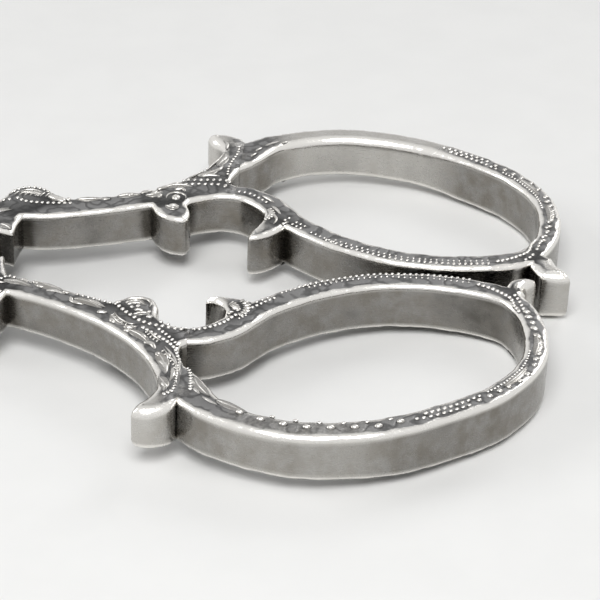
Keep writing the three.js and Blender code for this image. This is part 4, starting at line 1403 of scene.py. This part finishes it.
class NipsStage(bpy.types.PropertyGroup):
    floor_color: color("Floor", "Plain pale floor", (0.80, 0.80, 0.79))
    sky_color: color(
        "Backdrop", "Pale backdrop seen past the floor and in the silver", (0.82, 0.82, 0.82))
    sky_fill: fraction("Fill", "Share of the backdrop that lights the object", 0.35)
    fade_start: distance("Fade start", "Where the floor starts to pass into the backdrop", 120)
    fade_end: distance("Fade end", "Where the floor has passed into the backdrop", 420)
    lamp_power: FloatProperty(
        name="Key lamp", description="Power of the large soft lamp above the camera",
        unit="POWER", default=0.8, min=0.0)
    camera_distance: distance("Camera distance", "From the camera to the finger rings", 165)
    camera_lens: FloatProperty(
        name="Lens", description="Focal length on a 36 mm wide square frame", default=132.7)


# Operators

def dress_and_chase(scene, node, kind, seams, chase):
    """Both halves' straps of one kind, each with its chased ornament."""
    material = silver(f"{kind} silver", scene.nips_finish)
    for half in SIDE:
        dress_strap(f"{half}_{node}", f"{half}_{kind}_strap", half, seams[half],
                    scene.nips_straps, material)
        chaser = Chaser(f"{half}_{node}", half, scene.nips_straps)
        chase(chaser)
        chaser.finish(f"{half}_{kind}_chasing", material, "strap_silver")


class NIPS_OT_finger_rings(bpy.types.Operator):
    """Dress both finger rings"""
    bl_idname = "nips.finger_rings"
    bl_label = "Finger rings"

    def execute(self, context):
        seams = {half: [PIVOT.x + seam * MM] for half, seam in RING_SEAM.items()}
        dress_and_chase(context.scene, "ring_bow", "ring", seams, chase_ring)
        return {"FINISHED"}


class NIPS_OT_scroll_stems(bpy.types.Operator):
    """Dress both scroll stems"""
    bl_idname = "nips.scroll_stems"
    bl_label = "Scroll stems"

    def execute(self, context):
        seams = {half: [PIVOT.x + seam * MM, PIVOT.x + STEM_SEAT * MM]
                 for half, seam in RING_SEAM.items()}
        dress_and_chase(context.scene, "scroll_stem", "stem", seams, chase_stem)
        return {"FINISHED"}


class NIPS_OT_grip_arms(bpy.types.Operator):
    """Dress both grip arms"""
    bl_idname = "nips.grip_arms"
    bl_label = "Grip arms"

    def execute(self, context):
        seams = {half: [PIVOT.x - STEM_SEAT * MM, PIVOT.x + ARM_END * MM] for half in SIDE}
        dress_and_chase(context.scene, "grip_arm", "arm", seams, chase_arm)
        return {"FINISHED"}


class NIPS_OT_hinge(bpy.types.Operator):
    """Dress the hinge's three discs and its rivet"""
    bl_idname = "nips.hinge"
    bl_label = "Hinge"

    def execute(self, context):
        scene = context.scene
        hinge = scene.nips_hinge
        material = silver("hinge silver", scene.nips_finish)
        seams = [PIVOT.x + STEM_SEAT * MM, PIVOT.x - STEM_SEAT * MM]
        upper, lower = BOTH_SIDES
        for node, half, sides in (("near_upper_hinge_cheek", "near", (upper,)),
                                  ("near_lower_hinge_cheek", "near", (lower,)),
                                  ("far_hinge_tongue", "far", BOTH_SIDES)):
            name = node.replace("hinge_", "")
            dress_strap(node, name, half, seams, hinge, material, True, sides)
            if half == "near":
                chaser = Chaser(node, half, hinge, True, sides)
                chase_rosette(chaser, hinge)
                chaser.finish(f"{name}_rosette", material, "hub_silver")
        make_rivet(hinge, silver("rivet silver", scene.nips_finish, 1.1, 0.04))
        return {"FINISHED"}


class NIPS_OT_shell_grips(bpy.types.Operator):
    """Build both shell grips"""
    bl_idname = "nips.shell_grips"
    bl_label = "Shell grips"

    def execute(self, context):
        scene = context.scene
        material = silver("shell silver", scene.nips_finish, 1.1)
        for half in SIDE:
            make_shell(half, scene.nips_shells, material)
        return {"FINISHED"}


class NIPS_OT_stage(bpy.types.Operator):
    """Lay the pale floor, and set the soft lamps and the camera"""
    bl_idname = "nips.stage"
    bl_label = "Stage"

    def execute(self, context):
        scene = context.scene
        stage = scene.nips_stage
        lay_floor(stage)
        light_stage(stage)
        place_camera(stage)
        scene.view_settings.view_transform = "Standard"
        return {"FINISHED"}


FLOOR_RADIUS = 3.0
FLOOR_SIDES = 96
CLEARANCE = 0.02 * MM

# Soft lamps: name, place and width in metres, and share of the key lamp's power
LAMPS = [
    ("key lamp", (0.02, -0.16, 0.30), 0.22, 1.0),
    ("side lamp", (-0.30, 0.02, 0.20), 0.20, 0.45),
    ("rear lamp", (0.20, 0.28, 0.24), 0.18, 0.35),
]
LAMP_AIM = Vector((0.03, 0.0, 0.0))

# The photograph's view: the camera's bearing, elevation and roll in degrees, and what it looks at
BEARING = 2.507
ELEVATION = 32.0
ROLL = 2.2
CAMERA_AIM = PIVOT + Vector((34.0, -4.85, 1.54)) * MM
FRAME_WIDTH = 36.0


def rest_plane():
    """The nips lie on the shells' lower edges and the rings' tails, so the floor leans a little."""
    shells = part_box("near_shell_grip")
    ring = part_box("far_ring_bow")
    front = (ring[1].x, ring[0].z)
    back = ((shells[0].x * 3 + shells[1].x) / 4, shells[0].z)
    slope = (front[1] - back[1]) / (front[0] - back[0])
    return slope, back


def lay_floor(stage):
    slope, (x, z) = rest_plane()
    bm = bmesh.new()
    bmesh.ops.create_circle(bm, cap_ends=True, segments=FLOOR_SIDES, radius=FLOOR_RADIUS)
    tilt = Matrix.Rotation(-math.atan(slope), 4, "Y")
    bmesh.ops.transform(bm, verts=bm.verts,
                        matrix=Matrix.Translation((x, 0.0, z - CLEARANCE)) @ tilt)
    mesh = bpy.data.meshes.new("floor")
    bm.to_mesh(mesh)
    bm.free()
    material, tree, shader = node_tree("pale floor")
    specks = noise(tree, object_point(tree), 0.2, 3.0)
    light = [min(1.0, c * 1.02) for c in stage.floor_color]
    tone = blend(tree, "RGBA", spread(tree, specks, 0.3, 0.7), list(stage.floor_color), light)
    tree.links.new(tone, shader.inputs["Base Color"])
    shader.inputs["Roughness"].default_value = 0.6
    fade_floor(tree, shader, stage)
    mesh.materials.append(material)
    floor = bpy.data.objects.new("floor", mesh)
    bpy.context.scene.collection.objects.link(floor)


def seen_rays(tree):
    """1 for what the camera sees straight, in gloss or through glass, and 0 for plain light."""
    path = tree.nodes.new("ShaderNodeLightPath")
    seen = reckon(tree, "MAXIMUM", path.outputs["Is Camera Ray"], path.outputs["Is Glossy Ray"])
    return reckon(tree, "MAXIMUM", seen, path.outputs["Is Transmission Ray"])


def fade_floor(tree, shader, stage):
    """Far from the object the floor passes into the pale backdrop."""
    point = tree.nodes.new("ShaderNodeTexCoord").outputs["Object"]
    away = add_node(tree, "ShaderNodeVectorMath", {"operation": "LENGTH"}, {0: point})
    faded = spread(tree, away.outputs["Value"], stage.fade_start, stage.fade_end)
    glow = add_node(tree, "ShaderNodeEmission", {"Color": (*stage.sky_color, 1.0)})
    mixed = add_node(tree, "ShaderNodeMixShader", links={
        0: reckon(tree, "MULTIPLY", faded, seen_rays(tree)), 1: shader.outputs["BSDF"],
        2: glow.outputs["Emission"]})
    output = next(node for node in tree.nodes if node.type == "OUTPUT_MATERIAL")
    tree.links.new(mixed.outputs["Shader"], output.inputs["Surface"])


def add_lamp(name, place, size, power):
    data = bpy.data.lights.new(name, "AREA")
    data.shape = "DISK"
    data.size = size
    data.energy = power
    lamp = bpy.data.objects.new(name, data)
    back = (Vector(place) - LAMP_AIM).normalized()
    lamp.matrix_world = Matrix.Translation(place) @ back.to_track_quat("Z", "Y").to_matrix().to_4x4()
    bpy.context.scene.collection.objects.link(lamp)


def light_stage(stage):
    world = bpy.data.worlds.new("pale backdrop")
    bpy.context.scene.world = world
    world.use_nodes = True
    tree = world.node_tree
    background = tree.nodes["Background"]
    background.inputs["Color"].default_value = (*stage.sky_color, 1.0)
    strength = spread(tree, seen_rays(tree), 0.0, 1.0, stage.sky_fill, 1.0)
    tree.links.new(strength, background.inputs["Strength"])
    for name, place, size, power in LAMPS:
        add_lamp(name, place, size, stage.lamp_power * power)


def place_camera(stage):
    """The photograph's view: it looks down on the finger rings from in front."""
    bearing, elevation, roll = (math.radians(angle) for angle in (BEARING, ELEVATION, ROLL))
    level = Vector((math.sin(bearing), -math.cos(bearing), 0.0))
    back = level * math.cos(elevation) + Vector((0.0, 0.0, math.sin(elevation)))
    right = Vector((math.cos(bearing), math.sin(bearing), 0.0))
    up = back.cross(right)
    turned_right = math.cos(roll) * right + math.sin(roll) * up
    turned_up = math.cos(roll) * up - math.sin(roll) * right
    data = bpy.data.cameras.new("photo camera")
    data.sensor_width = FRAME_WIDTH
    data.lens = stage.camera_lens
    data.clip_start = 0.01
    camera = bpy.data.objects.new("photo camera", data)
    axes = Matrix((turned_right, turned_up, back)).transposed().to_4x4()
    camera.matrix_world = Matrix.Translation(CAMERA_AIM + back * stage.camera_distance) @ axes
    bpy.context.scene.collection.objects.link(camera)
    bpy.context.scene.camera = camera


class NIPS_PT_panel(bpy.types.Panel):
    bl_label = "Sugar nips"
    bl_space_type = "VIEW_3D"
    bl_region_type = "UI"
    bl_category = "Nips"

    def draw(self, context):
        layout = self.layout
        for operator in OPERATORS:
            layout.operator(operator.bl_idname)
        for holder in GROUPS:
            group = getattr(context.scene, holder)
            box = layout.box()
            for name in group.__annotations__:
                box.prop(group, name)


OPERATORS = [
    NIPS_OT_finger_rings, NIPS_OT_scroll_stems, NIPS_OT_hinge, NIPS_OT_grip_arms,
    NIPS_OT_shell_grips, NIPS_OT_stage,
]
GROUPS = {
    "nips_straps": NipsStraps, "nips_hinge": NipsHinge, "nips_shells": NipsShells,
    "nips_finish": NipsFinish, "nips_stage": NipsStage,
}


def register():
    for cls in (*GROUPS.values(), *OPERATORS, NIPS_PT_panel):
        bpy.utils.register_class(cls)
    for name, cls in GROUPS.items():
        setattr(bpy.types.Scene, name, PointerProperty(type=cls))


def unregister():
    for name in GROUPS:
        delattr(bpy.types.Scene, name)
    for cls in (NIPS_PT_panel, *reversed(OPERATORS), *reversed(GROUPS.values())):
        bpy.utils.unregister_class(cls)


def main():
    register()
    bpy.ops.nips.finger_rings()
    bpy.ops.nips.scroll_stems()
    bpy.ops.nips.hinge()
    bpy.ops.nips.grip_arms()
    bpy.ops.nips.shell_grips()
    bpy.ops.nips.stage()


if __name__ == "__main__":
    main()
